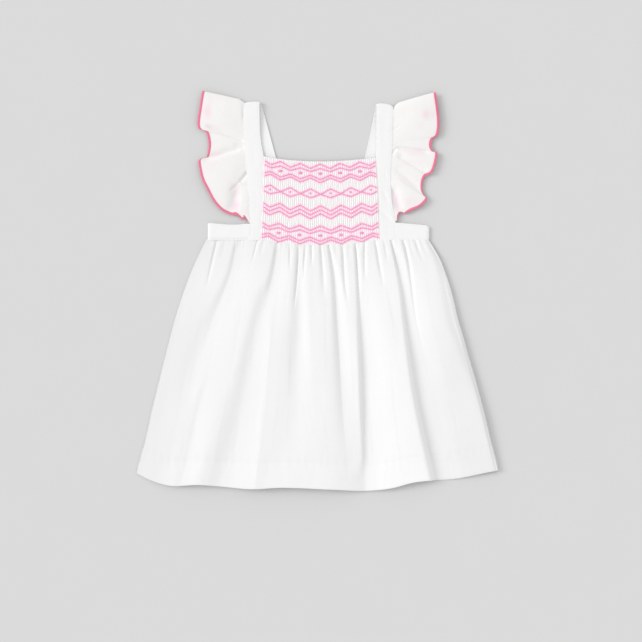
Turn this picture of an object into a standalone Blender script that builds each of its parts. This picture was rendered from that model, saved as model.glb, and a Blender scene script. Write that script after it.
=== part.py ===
"""A toddler's dress with a smocked front, flutter sleeves and a gathered skirt, laid flat on a table.

Every size is in millimetres, and to_object() turns a finished shape into metres. X runs across the
dress, +Y points to the neck and +Z up from the table. The origin is on the table, under the middle
of the dress. "Left" is -X, the left-hand side as the front is seen.

Each piece of cloth is a sheet of sections, given its wall by Solidify. The back layer rests flat on
the table, the front layer lies over it, and the two meet at the side seams and over the shoulders.
"""

import math
from collections import namedtuple

import bmesh
import bpy
from mathutils import Vector

MM = 0.001

# Cloth
CLOTH = 1.0  # wall of a single layer
BAND = 1.5  # wall of the doubled straps and waistband
SEAM = 0.4  # gap between two pieces where they are sewn together

# Heights of the middle of each layer above the table
BACK_CLOTH_Z = CLOTH / 2
BACK_BAND_Z = BAND / 2
FRONT_BAND_Z = 3.0
SIDE_SEAM_Z = 2.2  # where the front and back skirt meet along the side fold

# The main lines of the dress
WAIST_Y = 58.0  # the seam between waistband and skirt
WAISTBAND_DEPTH = 18.4
BAND_TOP_Y = WAIST_Y + WAISTBAND_DEPTH
SHOULDER_SEAM_IN = 9.5  # from a strap's fold to where its back part meets its front part
WAISTBAND_LEFT_X = -124.5
WAISTBAND_RIGHT_X = 127.0
# The fold of a strap over the shoulder: how much higher its right end lies than its left one, and
# how far its ends round down
Shoulder = namedtuple("Shoulder", "y lean round_off")
LEFT_SHOULDER = Shoulder(216.1, 1.2, 0.8)
RIGHT_SHOULDER = Shoulder(213.3, 0.0, 3.4)
SHOULDER_ROUND = 22.0  # how far below the fold that shape starts

SHARP_ANGLE = math.radians(50)  # an edge that turns more is drawn as a crease

# Colours
COTTON = (0.93, 0.93, 0.925)
VOILE = (0.90, 0.90, 0.89)
SMOCKED = (0.94, 0.86, 0.90)


# ---------------------------------------------------------------- curves and sheets


def smooth_step(low, high, value):
    """0 below low, 1 above high and a smooth rise between them."""
    share = min(1.0, max(0.0, (value - low) / (high - low)))
    return share * share * (3.0 - 2.0 * share)


def read(table, at):
    """The columns after the first, read from the table at that value of its first column."""
    last = len(table) - 1
    span = next((k for k in range(last) if at <= table[k + 1][0]), last - 1)
    before, start = table[max(span - 1, 0)], table[span]
    end, after = table[span + 1], table[min(span + 2, last)]
    width = end[0] - start[0]
    share = min(1.0, max(0.0, (at - start[0]) / width))
    values = []
    for column in range(1, len(start)):
        slope_in = (end[column] - before[column]) / (end[0] - before[0]) * width
        slope_out = (after[column] - start[column]) / (after[0] - start[0]) * width
        square, cube = share * share, share * share * share
        values.append(
            start[column] * (2 * cube - 3 * square + 1)
            + slope_in * (cube - 2 * square + share)
            + end[column] * (3 * square - 2 * cube)
            + slope_out * (cube - square)
        )
    return values[0] if len(values) == 1 else values


def line_through(points, steps):
    """A smooth line through the points, with so many steps between each two of them."""
    line = []
    last = len(points) - 1
    for k in range(last):
        before, start = points[max(k - 1, 0)], points[k]
        end, after = points[k + 1], points[min(k + 2, last)]
        for step in range(steps):
            share = step / steps
            square, cube = share * share, share * share * share
            line.append(
                0.5
                * (
                    2 * start
                    + (end - before) * share
                    + (2 * before - 5 * start + 4 * end - after) * square
                    + (3 * start - before - 3 * end + after) * cube
                )
            )
    line.append(points[last])
    return line


def to_object(name, mesh, colour, roughness=0.85):
    """Scales a bmesh in millimetres to metres and makes it a named object with its own material."""
    bmesh.ops.scale(mesh, vec=(MM, MM, MM), verts=mesh.verts)
    data = bpy.data.meshes.new(name)
    for edge in mesh.edges:
        edge.smooth = not edge.is_boundary and edge.calc_face_angle() < SHARP_ANGLE
    for face in mesh.faces:
        face.smooth = True
    mesh.to_mesh(data)
    mesh.free()
    material = bpy.data.materials.new(name)
    material.use_nodes = True
    shader = material.node_tree.nodes["Principled BSDF"]
    shader.inputs["Base Color"].default_value = (*colour, 1.0)
    shader.inputs["Roughness"].default_value = roughness
    shader.inputs["Metallic"].default_value = 0.0
    data.materials.append(material)
    made = bpy.data.objects.new(name, data)
    bpy.context.scene.collection.objects.link(made)
    return made


def sheet(name, sections, wall, colour):
    """Cloth through the sections, which are lists of equally many points, with its wall both ways."""
    mesh = bmesh.new()
    rows = [[mesh.verts.new(point) for point in section] for section in sections]
    for low, high in zip(rows, rows[1:]):
        for k in range(len(low) - 1):
            mesh.faces.new((low[k], low[k + 1], high[k + 1], high[k]))
    made = to_object(name, mesh, colour)
    solidify = made.modifiers.new("wall", "SOLIDIFY")
    solidify.thickness = wall * MM
    solidify.offset = 0.0
    return made


# ---------------------------------------------------------------- skirt

# Half the skirt's width, at shares of the way down the side seam
SkirtWidth = namedtuple("SkirtWidth", "down half_width")
SKIRT_WIDTH = [
    SkirtWidth(0.00, 126.0),
    SkirtWidth(0.05, 133.0),
    SkirtWidth(0.15, 144.8),
    SkirtWidth(0.26, 155.3),
    SkirtWidth(0.40, 166.2),
    SkirtWidth(0.58, 178.4),
    SkirtWidth(0.71, 187.0),
    SkirtWidth(0.85, 195.4),
    SkirtWidth(1.00, 205.8),
]

# The front hem's line, from side seam to side seam
HemLine = namedtuple("HemLine", "across y")
HEM_LINE = [
    HemLine(-1.00, -207.0),
    HemLine(-0.93, -214.3),
    HemLine(-0.86, -219.2),
    HemLine(-0.79, -221.4),
    HemLine(-0.66, -219.9),
    HemLine(-0.54, -221.8),
    HemLine(-0.37, -224.6),
    HemLine(-0.19, -222.9),
    HemLine(0.10, -225.4),
    HemLine(0.24, -227.0),
    HemLine(0.33, -226.2),
    HemLine(0.42, -223.3),
    HemLine(0.52, -217.6),
    HemLine(0.60, -215.2),
    HemLine(0.74, -213.9),
    HemLine(0.83, -210.9),
    HemLine(0.94, -205.9),
    HemLine(1.00, -203.6),
]

# How far the right side stands out from that width
SideWave = namedtuple("SideWave", "down out")
RIGHT_WAVE = [
    SideWave(0.00, 0.0),
    SideWave(0.05, 1.1),
    SideWave(0.09, 2.0),
    SideWave(0.14, 1.2),
    SideWave(0.20, 0.5),
    SideWave(0.26, -0.5),
    SideWave(0.35, -2.2),
    SideWave(0.43, -1.8),
    SideWave(0.51, -1.5),
    SideWave(0.59, -0.6),
    SideWave(0.69, 0.0),
    SideWave(0.81, 0.7),
    SideWave(1.00, 0.0),
]
WAVE_START = 0.6  # of the half width, from which the cloth follows that side

# Height of the front cloth between its folds: it swells out of the gathers and then runs level
Crown = namedtuple("Crown", "down z")
CROWN = [
    Crown(0.00, 3.6),
    Crown(0.05, 5.4),
    Crown(0.10, 6.6),
    Crown(0.18, 7.8),
    Crown(0.32, 9.2),
    Crown(0.55, 10.0),
    Crown(0.85, 10.4),
    Crown(1.00, 10.0),
]
LEAST_Z = SIDE_SEAM_Z + 0.9  # of the middle of the front cloth
RIM_FALL = 1.1  # how much lower the cloth lies beside its right side
RIM_FALL_REACH = 40.0
RIM_LIFT = 1.2  # how much of that it regains near the hem
RIM_LIFT_DOWN = 0.83
RIM_LIFT_REACH = 0.12
LEFT_RISE = 94.0  # how far in from the left side the cloth takes to rise
LEFT_RISE_FROM = -0.12  # where that rise starts, as a share of its reach
RIGHT_ROUND = 5.5  # how far in from the right side it takes to round over
PLAIN_LEFT = 10.0  # beside the left side, where the folds run out
PLAIN_RIGHT = 2.5

# The troughs of the front, left to right. The first five columns are the X of the trough's line at
# the shares down of FOLD_DOWNS. left and right are the widths of its two sides at the waist, and
# low_left and low_right those at the hem. The depths are those at its start, middle and end, and
# start and end are shares of the way down the skirt. A gather is a trough that ends soon. form says
# how its sides run, and the columns of points follow the folds that are guides.
FOLD_DOWNS = (0.0, 0.15, 0.36, 0.66, 1.0)
SOFT = "soft"
STEP = "step"
CREST = "crest"
Fold = namedtuple(
    "Fold",
    "waist_x upper_x third_x low_x hem_x left right low_left low_right "
    "first_depth depth last_depth start end form guide",
)
FRONT_FOLDS = [
    Fold(-114.5, -123.5, -136.0, -154.5, -171.5, 1.1, 0.9, 5, 4, 1.3, 1.0, 0.0, 0.00, 0.22, STEP, True),
    Fold(-104.5, -114.5, -130.5, -151.0, -168.0, 1.2, 1.4, 5, 5, 0.5, 0.4, 0.0, 0.00, 0.09, SOFT, False),
    Fold(-92.0, -99.5, -122.5, -143.0, -161.5, 1.1, 13, 20, 70, 1.4, 2.2, 0.6, 0.00, 0.60, STEP, True),
    Fold(-90.5, -102.0, -126.5, -149.0, -170.5, 5, 3, 15, 17, 0.0, 1.2, 0.4, 0.24, 0.66, CREST, False),
    Fold(-87.0, -97.5, -112.5, -134.0, -156.0, 1.3, 5, 5, 16, 0.0, 0.9, 0.8, 0.27, 1.30, STEP, True),
    Fold(-80.5, -88.5, -101.0, -118.0, -131.5, 1.1, 1.4, 6, 6, 0.5, 0.4, 0.0, 0.00, 0.08, SOFT, False),
    Fold(-68.0, -78.0, -89.5, -104.5, -126.0, 1.1, 0.9, 6, 4, 0.9, 0.8, 0.0, 0.00, 0.13, STEP, True),
    Fold(-62.0, -70.0, -79.0, -97.5, -119.0, 1.1, 1.4, 6, 6, 0.5, 0.5, 0.0, 0.00, 0.07, SOFT, False),
    Fold(-46.0, -51.5, -69.0, -85.0, -102.0, 1.1, 9, 20, 34, 2.0, 2.6, 0.0, 0.00, 0.40, STEP, True),
    Fold(-48.5, -56.0, -69.0, -86.0, -109.0, 4, 4, 17, 38, 1.6, 3.2, 4.4, 0.15, 1.04, CREST, False),
    Fold(-40.0, -42.0, -49.5, -61.0, -71.0, 1, 0.9, 6, 4, 1.2, 0.8, 0.0, 0.00, 0.08, STEP, True),
    Fold(-31.5, -32.0, -38.0, -46.0, -58.5, 1.1, 0.9, 6, 4, 1.6, 1.1, 0.0, 0.00, 0.13, STEP, True),
    Fold(-21.5, -24.0, -28.5, -33.5, -37.0, 1.2, 1, 3, 5, 2.2, 3.2, 0.0, 0.00, 0.30, STEP, True),
    Fold(-21.0, -21.0, -21.0, -24.0, -28.0, 3, 3, 19, 19, 1.0, 2.6, 0.0, 0.00, 0.92, SOFT, False),
    Fold(-14.0, -16.0, -17.5, -16.5, -19.0, 1.1, 0.9, 6, 4, 1.6, 1.3, 0.0, 0.00, 0.17, STEP, True),
    Fold(-6.5, -6.5, -7.0, -6.5, -6.5, 1.1, 0.9, 6, 4, 1.2, 0.9, 0.0, 0.00, 0.10, STEP, True),
    Fold(3.5, 7.0, 8.0, 8.5, 11.0, 1.4, 1.1, 12, 6, 1.9, 1.6, 0.0, 0.00, 0.23, STEP, True),
    Fold(12.5, 19.0, 23.0, 28.5, 37.0, 1.2, 1.2, 9, 30, 2.5, 3.8, 1.2, 0.00, 0.97, STEP, True),
    Fold(19.5, 25.0, 30.0, 36.0, 44.0, 1.1, 1.4, 6, 6, 0.5, 0.5, 0.0, 0.00, 0.08, SOFT, False),
    Fold(28.5, 31.0, 37.5, 40.5, 46.0, 1.2, 1, 8, 6, 1.9, 1.8, 0.0, 0.00, 0.27, STEP, True),
    Fold(35.0, 36.5, 42.5, 45.0, 48.5, 1.1, 1.4, 6, 6, 0.5, 0.5, 0.0, 0.00, 0.07, SOFT, False),
    Fold(43.0, 45.5, 48.5, 51.5, 54.0, 0.9, 1, 2.2, 7, 3.0, 2.6, 1.2, 0.00, 0.42, STEP, True),
    Fold(43.5, 46.0, 49.0, 52.0, 54.5, 1.5, 5, 3.4, 46, 0.4, 6.4, 4.6, 0.12, 1.02, STEP, False),
    Fold(44.0, 45.0, 48.0, 49.5, 50.5, 10, 2, 26, 3, 0.0, 1.0, 2.0, 0.68, 1.32, SOFT, False),
    Fold(50.5, 52.0, 53.5, 55.5, 58.0, 2, 8, 3.2, 26, 0.0, 4.0, 6.4, 0.50, 1.12, SOFT, False),
    Fold(53.5, 54.0, 57.5, 60.0, 64.5, 1.1, 0.9, 6, 4, 1.8, 1.4, 0.0, 0.00, 0.17, STEP, True),
    Fold(65.5, 73.0, 84.0, 87.0, 96.5, 1.3, 1, 7, 4, 2.4, 1.6, 0.0, 0.00, 0.20, STEP, True),
    Fold(75.5, 82.0, 90.5, 97.5, 107.5, 1, 0.9, 7, 4, 1.5, 1.0, 0.0, 0.00, 0.10, STEP, False),
    Fold(84.0, 93.0, 101.0, 113.5, 134.5, 1, 1.4, 3.4, 72, 1.4, 7.2, 8.8, 0.00, 1.03, STEP, True),
    Fold(83.0, 92.0, 99.5, 112.5, 133.0, 0.9, 0.9, 3, 4, 2.8, 3.2, 0.0, 0.00, 0.24, SOFT, False),
    Fold(97.5, 105.5, 114.0, 131.5, 149.0, 1.1, 1.2, 10, 5, 2.4, 3.4, 1.0, 0.00, 0.56, STEP, True),
    Fold(103.0, 113.5, 122.5, 141.0, 158.0, 1.1, 1.4, 7, 7, 0.5, 0.4, 0.0, 0.00, 0.09, SOFT, False),
    Fold(110.0, 122.0, 131.5, 151.0, 169.5, 1.2, 1.8, 7, 8, 0.9, 0.7, 0.0, 0.00, 0.10, STEP, True),
    Fold(116.5, 129.5, 141.0, 162.5, 179.5, 1.1, 1.4, 7, 7, 0.5, 0.4, 0.0, 0.00, 0.08, SOFT, False),
    Fold(114.5, 119.0, 129.5, 145.5, 166.0, 6, 6, 16, 13, 0.0, 1.2, 0.9, 0.30, 1.10, SOFT, False),
    Fold(126.0, 141.0, 157.0, 181.5, 199.0, 3, 30, 9, 44, 1.4, 1.8, 1.4, 0.00, 1.20, STEP, True),
    Fold(126.0, 141.0, 157.0, 181.5, 199.0, 1.2, 1.6, 3, 3, 0.5, 0.6, 0.2, 0.00, 0.85, SOFT, False),
]
STEP_POWER = 1.35  # how sharply the left side of a step turns down further on: 2 is a bell
CREST_POWER = 1.6
FRONT_ROWS = (
    0, 0.02, 0.05, 0.09, 0.14, 0.2, 0.27, 0.34, 0.42, 0.5, 0.58, 0.66, 0.75, 0.84, 0.92, 1
)
LEAST_COLUMNS = 3  # between two guides
RIM_COLUMNS = 7  # beside the right side
FOLD_ONSET = 0.08  # how far a fold that starts below the waist takes to form
COLUMN_STEP = 4.2
CLOSENESS = 0.7  # how much closer together the columns stand at the guides
SMOCK_DIP = 6.0  # how far the middle of the waist seam dips below its ends
SMOCK_DIP_HALF = 66.0
SMOCK_DIP_X = 3.0
Trough = namedtuple("Trough", "x depth left right left_power form")


def waist_seam_y(x):
    """The waist seam, which dips under the smocked panel."""
    share = min(1.0, abs(x - SMOCK_DIP_X) / SMOCK_DIP_HALF)
    return WAIST_Y - SMOCK_DIP * (1.0 - share * share)


def bell(beside, reach, power=2.0):
    """1 at 0, falling away on both sides within about its reach."""
    return math.exp(-((abs(beside) / reach) ** power))


def fold_x(fold, down):
    """X of a fold's line at this share of the way down."""
    return read(list(zip(FOLD_DOWNS, fold[: len(FOLD_DOWNS)])), down)


def troughs_at(down):
    """Every fold's trough at this share of the way down, left to right."""
    troughs = []
    for fold in FRONT_FOLDS:
        along = (down - fold.start) / (fold.end - fold.start)
        depths = ((0.0, fold.first_depth), (0.5, fold.depth), (1.0, fold.last_depth))
        depth = max(0.0, read(depths, along)) if 0.0 <= along <= 1.0 else 0.0
        if fold.start > 0.0:
            depth *= smooth_step(fold.start, fold.start + FOLD_ONSET, down)
        left = fold.left + (fold.low_left - fold.left) * down
        right = fold.right + (fold.low_right - fold.right) * down
        slow = smooth_step(0.1, 0.45, down) if fold.form == STEP else 0.0
        power = 2.0 - (2.0 - STEP_POWER) * slow
        troughs.append(Trough(fold_x(fold, down), depth, left, right, power, fold.form))
    return troughs


def trough_share(trough, x):
    """How much of a trough's depth it has at X."""
    if x <= trough.x:
        return bell(x - trough.x, trough.left, trough.left_power)
    if trough.form == CREST:
        return 1.0 - min(1.0, (x - trough.x) / trough.right) ** CREST_POWER
    return bell(x - trough.x, trough.right)


def front_height(x, down, half_width, troughs):
    """Height of the middle of the front cloth above the table."""
    fall = RIM_FALL * smooth_step(0.04, 0.3, down)
    fall -= RIM_LIFT * bell(down - RIM_LIFT_DOWN, RIM_LIFT_REACH)
    level = read(CROWN, down) - LEAST_Z
    level -= fall * (1.0 - smooth_step(0.0, RIM_FALL_REACH, half_width - x))
    depths = sum((trough.depth * trough_share(trough, x)) ** 3 for trough in troughs)
    held = 0.4 + 0.6 * smooth_step(0.0, 0.04, down)
    depth = level * math.tanh(held * depths ** (1 / 3) / level)
    from_left = (half_width + x) / LEFT_RISE
    from_right = min(1.0, (half_width - x) / RIGHT_ROUND)
    rounding = smooth_step(LEFT_RISE_FROM, 1.0, from_left)
    rounding *= math.sqrt(max(0.0, 1.0 - (1.0 - from_right) ** 2))
    plain = smooth_step(0.0, PLAIN_RIGHT if x > 0.0 else PLAIN_LEFT, half_width - abs(x))
    return LEAST_Z + max(0.0, level * rounding - depth * plain)


def column_counts(guides):
    """How many columns of points stand between the left side, the guides and the right side."""
    counts = []
    for low, high in zip(guides, guides[1:]):
        gaps = [beyond - before for before, beyond in zip(low, high)]
        counts.append(max(LEAST_COLUMNS, round(sum(gaps) / len(gaps) / COLUMN_STEP)))
    counts[-1] = max(counts[-1], RIM_COLUMNS)
    return counts


def guide_lines(down):
    """X of the left side, of every guide and of the right side."""
    half_width = read(SKIRT_WIDTH, down)
    return [-half_width] + [fold_x(fold, down) for fold in FRONT_FOLDS if fold.guide] + [half_width]


def front_columns(down, counts):
    """X of the front's columns of points, which run with the folds and stand closer beside them."""
    lines = guide_lines(down)
    columns = []
    for low, high, count in zip(lines, lines[1:], counts):
        for k in range(count):
            share = k / count
            share -= CLOSENESS * math.sin(2.0 * math.pi * share) / (2.0 * math.pi)
            columns.append(low + share * (high - low))
    return columns + [lines[-1]]


def skirt_point(x, down, half_width, top_y, hem_rise=0.0):
    """X and Y of a point of the skirt, so far down between its top and the hem."""
    bottom = read(HEM_LINE, x / half_width) + hem_rise
    out = read(RIGHT_WAVE, down) * smooth_step(WAVE_START, 1.0, x / half_width)
    return Vector((x + out, top_y + (bottom - top_y) * down, 0.0))


def make_skirt_front():
    """The gathered front, from the waist seam to the hem."""
    counts = column_counts(list(zip(*(guide_lines(down) for down in FOLD_DOWNS))))
    sections = []
    for down in FRONT_ROWS:
        half_width = read(SKIRT_WIDTH, down)
        troughs = troughs_at(down)
        section = []
        for x in front_columns(down, counts):
            top_y = waist_seam_y(x / half_width * SKIRT_WIDTH[0].half_width) - SEAM
            point = skirt_point(x, down, half_width, top_y)
            point.z = front_height(x, down, half_width, troughs)
            section.append(point)
        sections.append(section)
    return sheet("skirt_front", sections, CLOTH, COTTON)


BACK_HEM_RISE = 4.0  # the back hem stays hidden behind the front one
BACK_CURL = 3.0  # how far in from the side seam the back cloth turns up
BACK_CURL_SHARES = (0.0, 0.15, 0.45, 1.0)
BACK_COLUMNS = 26
BACK_ROWS = 9


def make_skirt_back():
    """The back, flat on the table, turned up along the side seams to meet the front."""
    sections = []
    for row in range(BACK_ROWS + 1):
        down = row / BACK_ROWS
        half_width = read(SKIRT_WIDTH, down)
        flat = half_width - BACK_CURL
        xs = [-half_width + share * BACK_CURL for share in BACK_CURL_SHARES]
        xs += [flat * (2 * k / BACK_COLUMNS - 1) for k in range(1, BACK_COLUMNS)]
        xs += [half_width - share * BACK_CURL for share in reversed(BACK_CURL_SHARES)]
        section = []
        for x in xs:
            point = skirt_point(x, down, half_width, WAIST_Y - SEAM, BACK_HEM_RISE)
            curl = 1.0 - math.sqrt(max(0.0, 1.0 - max(0.0, (abs(x) - flat) / BACK_CURL) ** 2))
            point.z = BACK_CLOTH_Z + (SIDE_SEAM_Z - 0.5 - BACK_CLOTH_Z) * curl
            section.append(point)
        sections.append(section)
    return sheet("skirt_back", sections, CLOTH, COTTON)


# ---------------------------------------------------------------- waistband and straps

# The straps' edges. along is Y.
StrapEdges = namedtuple("StrapEdges", "along left right")
FRONT_STRAP_LEFT = [
    StrapEdges(WAIST_Y, -78.0, -65.0),
    StrapEdges(78.0, -76.6, -64.0),
    StrapEdges(104.0, -77.6, -62.7),
    StrapEdges(138.0, -80.6, -61.6),
    StrapEdges(153.0, -82.0, -61.4),
    StrapEdges(166.0, -82.8, -63.8),
    StrapEdges(180.0, -83.2, -65.4),
    StrapEdges(LEFT_SHOULDER.y, -83.2, -66.2),
]
FRONT_STRAP_RIGHT = [
    StrapEdges(WAIST_Y, 70.9, 89.0),
    StrapEdges(78.0, 70.0, 88.8),
    StrapEdges(104.0, 69.2, 84.4),
    StrapEdges(130.0, 67.8, 83.2),
    StrapEdges(153.0, 66.6, 84.4),
    StrapEdges(170.0, 67.1, 85.4),
    StrapEdges(RIGHT_SHOULDER.y, 67.4, 86.0),
]
BACK_STRAP_LEFT = [
    StrapEdges(BAND_TOP_Y, -45.5, -28.5),
    StrapEdges(151.6, -64.6, -47.4),
    StrapEdges(LEFT_SHOULDER.y, -83.0, -64.6),
]
BACK_STRAP_RIGHT = [
    StrapEdges(BAND_TOP_Y, 36.5, 53.5),
    StrapEdges(151.6, 54.0, 71.2),
    StrapEdges(RIGHT_SHOULDER.y, 67.6, 85.8),
]
STRAP_COLUMNS = 4
STRAP_STEP = 13.0  # between two sections along a strap
SHOULDER_RADIUS = 1.9  # of the strap's fold over the shoulder
SHOULDER_STEPS = 8
BAND_ROUND = 4.0  # how far in from its ends the waistband takes to round over
BAND_CURL_SHARES = (0.0, 0.1, 0.35, 1.0)
BAND_STEP = 9.0


def strap_section(edges, shoulder, y, z):
    """One line across a strap, from its left edge to its right one."""
    left, right = read(edges, y)
    near = smooth_step(shoulder.y - SHOULDER_ROUND, shoulder.y - 2.0, y)
    line = []
    for k in range(STRAP_COLUMNS + 1):
        turn = 2.0 * k / STRAP_COLUMNS - 1.0
        drop = near * (shoulder.round_off * abs(turn) ** 3 - shoulder.lean * turn / 2.0)
        line.append(Vector((left + (right - left) * k / STRAP_COLUMNS, y - drop, z)))
    return line


def steps_between(start, end, step):
    """Evenly spaced values from start to end, both included, about a step apart."""
    count = max(1, round(abs(end - start) / step))
    return [start + (end - start) * k / count for k in range(count + 1)]


def front_strap_z(y, shoulder):
    """The front strap rises a little towards the fold over the shoulder."""
    top = BACK_BAND_Z + 2 * SHOULDER_RADIUS
    seam_y = shoulder.y - SHOULDER_SEAM_IN
    return FRONT_BAND_Z + (top - FRONT_BAND_Z) * smooth_step(165.0, seam_y, y)


def make_front_strap(name, edges, shoulder):
    """A front strap, from the waist seam to the shoulder seam."""
    end_y = shoulder.y - SHOULDER_SEAM_IN - SEAM
    sections = [
        strap_section(edges, shoulder, y, front_strap_z(y, shoulder))
        for y in steps_between(WAIST_Y, end_y, STRAP_STEP)
    ]
    return sheet(name, sections, BAND, COTTON)


def make_back_strap(name, edges, front_edges, shoulder):
    """A back strap, from the waistband up the back and over the shoulder to the front strap."""
    fold_y = shoulder.y - BAND / 2 - SHOULDER_RADIUS
    sections = [
        strap_section(edges, shoulder, y, BACK_BAND_Z)
        for y in steps_between(BAND_TOP_Y + SEAM, fold_y, STRAP_STEP)
    ]
    for step in range(1, SHOULDER_STEPS):
        turn = math.pi * step / SHOULDER_STEPS
        y = fold_y + SHOULDER_RADIUS * math.sin(turn)
        z = BACK_BAND_Z + SHOULDER_RADIUS * (1.0 - math.cos(turn))
        sections.append(strap_section(edges, shoulder, y, z))
    top_z = BACK_BAND_Z + 2 * SHOULDER_RADIUS
    for y in steps_between(fold_y, shoulder.y - SHOULDER_SEAM_IN, STRAP_STEP / 3):
        sections.append(strap_section(front_edges, shoulder, y, top_z))
    return sheet(name, sections, BAND, COTTON)


def band_sections(outer_x, inner_x, z, end_z, both_ends=False):
    """Sections of a stretch of waistband that rounds over to end_z at its outer end."""
    inward = 1.0 if inner_x > outer_x else -1.0
    xs = [outer_x + inward * share * BAND_ROUND for share in BAND_CURL_SHARES]
    if both_ends:
        ends = [inner_x - inward * share * BAND_ROUND for share in reversed(BAND_CURL_SHARES)]
    else:
        ends = [inner_x]
    xs += steps_between(xs[-1], ends[0], BAND_STEP)[1:-1] + ends
    rows = []
    for x in xs:
        depth = abs(x - outer_x)
        if both_ends:
            depth = min(depth, abs(x - inner_x))
        share = min(1.0, depth / BAND_ROUND)
        height = end_z + (z - end_z) * math.sqrt(1.0 - (1.0 - share) ** 2)
        rows.append(
            [Vector((x, y, height)) for y in steps_between(WAIST_Y, BAND_TOP_Y, BAND_STEP)]
        )
    return rows


def make_waistband():
    """The band round the waist: one stretch at each side of the front, and the whole back."""
    seam_z = (FRONT_BAND_Z + BACK_BAND_Z) / 2 + 0.15
    half_gap = BAND / 2 + SEAM / 2
    left_end = FRONT_STRAP_LEFT[0].left - SEAM
    right_start = FRONT_STRAP_RIGHT[1].right + SEAM + 0.3
    sheet(
        "waistband_front_left",
        band_sections(WAISTBAND_LEFT_X, left_end, FRONT_BAND_Z, seam_z + half_gap - 0.3),
        BAND,
        COTTON,
    )
    sheet(
        "waistband_front_right",
        band_sections(WAISTBAND_RIGHT_X, right_start, FRONT_BAND_Z, seam_z + half_gap - 0.3),
        BAND,
        COTTON,
    )
    sheet(
        "waistband_back",
        band_sections(
            WAISTBAND_LEFT_X, WAISTBAND_RIGHT_X, BACK_BAND_Z, BACK_BAND_Z, both_ends=True
        ),
        BAND,
        COTTON,
    )


# ---------------------------------------------------------------- smocked panel

PLEATS = 54
PLEAT_HEIGHT = 1.5
PANEL_BASE_Z = 2.1  # its flat inside
PANEL_WALL = 1.2  # from its inside to the bottom of a pleat's valley
# The panel from the waist seam up: how far up, and how much of its height a pleat has there. The
# rows of smocking draw the pleats in.
PanelRow = namedtuple("PanelRow", "up pleat")
PANEL_ROWS = [
    PanelRow(0.00, 0.75),
    PanelRow(0.06, 0.55),
    PanelRow(0.16, 0.60),
    PanelRow(0.25, 0.95),
    PanelRow(0.33, 0.60),
    PanelRow(0.40, 0.60),
    PanelRow(0.48, 0.95),
    PanelRow(0.57, 0.60),
    PanelRow(0.62, 0.60),
    PanelRow(0.70, 0.95),
    PanelRow(0.78, 0.60),
    PanelRow(0.92, 0.60),
    PanelRow(1.00, 0.50),
]
# The neck edge and the panel's sides
NeckLine = namedtuple("NeckLine", "across y")
NECK_LINE = [
    NeckLine(-1.0, 153.2),
    NeckLine(-0.75, 150.6),
    NeckLine(-0.5, 148.7),
    NeckLine(0.0, 147.3),
    NeckLine(0.5, 148.6),
    NeckLine(0.8, 150.3),
    NeckLine(1.0, 151.8),
]


def panel_edges(y):
    """X of the panel's left and right edges, a seam's gap inside the straps."""
    return (
        read(FRONT_STRAP_LEFT, y)[1] + SEAM,
        read(FRONT_STRAP_RIGHT, y)[0] - SEAM,
    )


def make_smocked_panel():
    """The smocked front: fine upright pleats over a flat inside."""
    mesh = bmesh.new()
    columns = 2 * PLEATS
    rows = []
    for row in PANEL_ROWS:
        line = []
        for k in range(columns + 1):
            across = 2.0 * k / columns - 1.0
            bottom = waist_seam_y(across * 67.0 + SMOCK_DIP_X)
            top = read(NECK_LINE, across)
            y = bottom + (top - bottom) * row.up
            left, right = panel_edges(y)
            pleat = PLEAT_HEIGHT * row.pleat if k % 2 else 0.0
            z = PANEL_BASE_Z + PANEL_WALL + pleat
            line.append(mesh.verts.new((left + (right - left) * (across + 1) / 2, y, z)))
        rows.append(line)
    for low, high in zip(rows, rows[1:]):
        for k in range(columns):
            mesh.faces.new((low[k], low[k + 1], high[k + 1], high[k]))
    rim = rows[0] + [line[-1] for line in rows[1:]]
    rim += list(reversed(rows[-1][:-1])) + [line[0] for line in reversed(rows[1:-1])]
    under = [mesh.verts.new((v.co.x, v.co.y, PANEL_BASE_Z)) for v in rim]
    for k, vertex in enumerate(rim):
        beyond = (k + 1) % len(rim)
        mesh.faces.new((vertex, under[k], under[beyond], rim[beyond]))
    mesh.faces.new(list(reversed(under)))
    bmesh.ops.recalc_face_normals(mesh, faces=mesh.faces)
    return to_object("bodice_smocked", mesh, SMOCKED)


# ---------------------------------------------------------------- flutter sleeves

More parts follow.
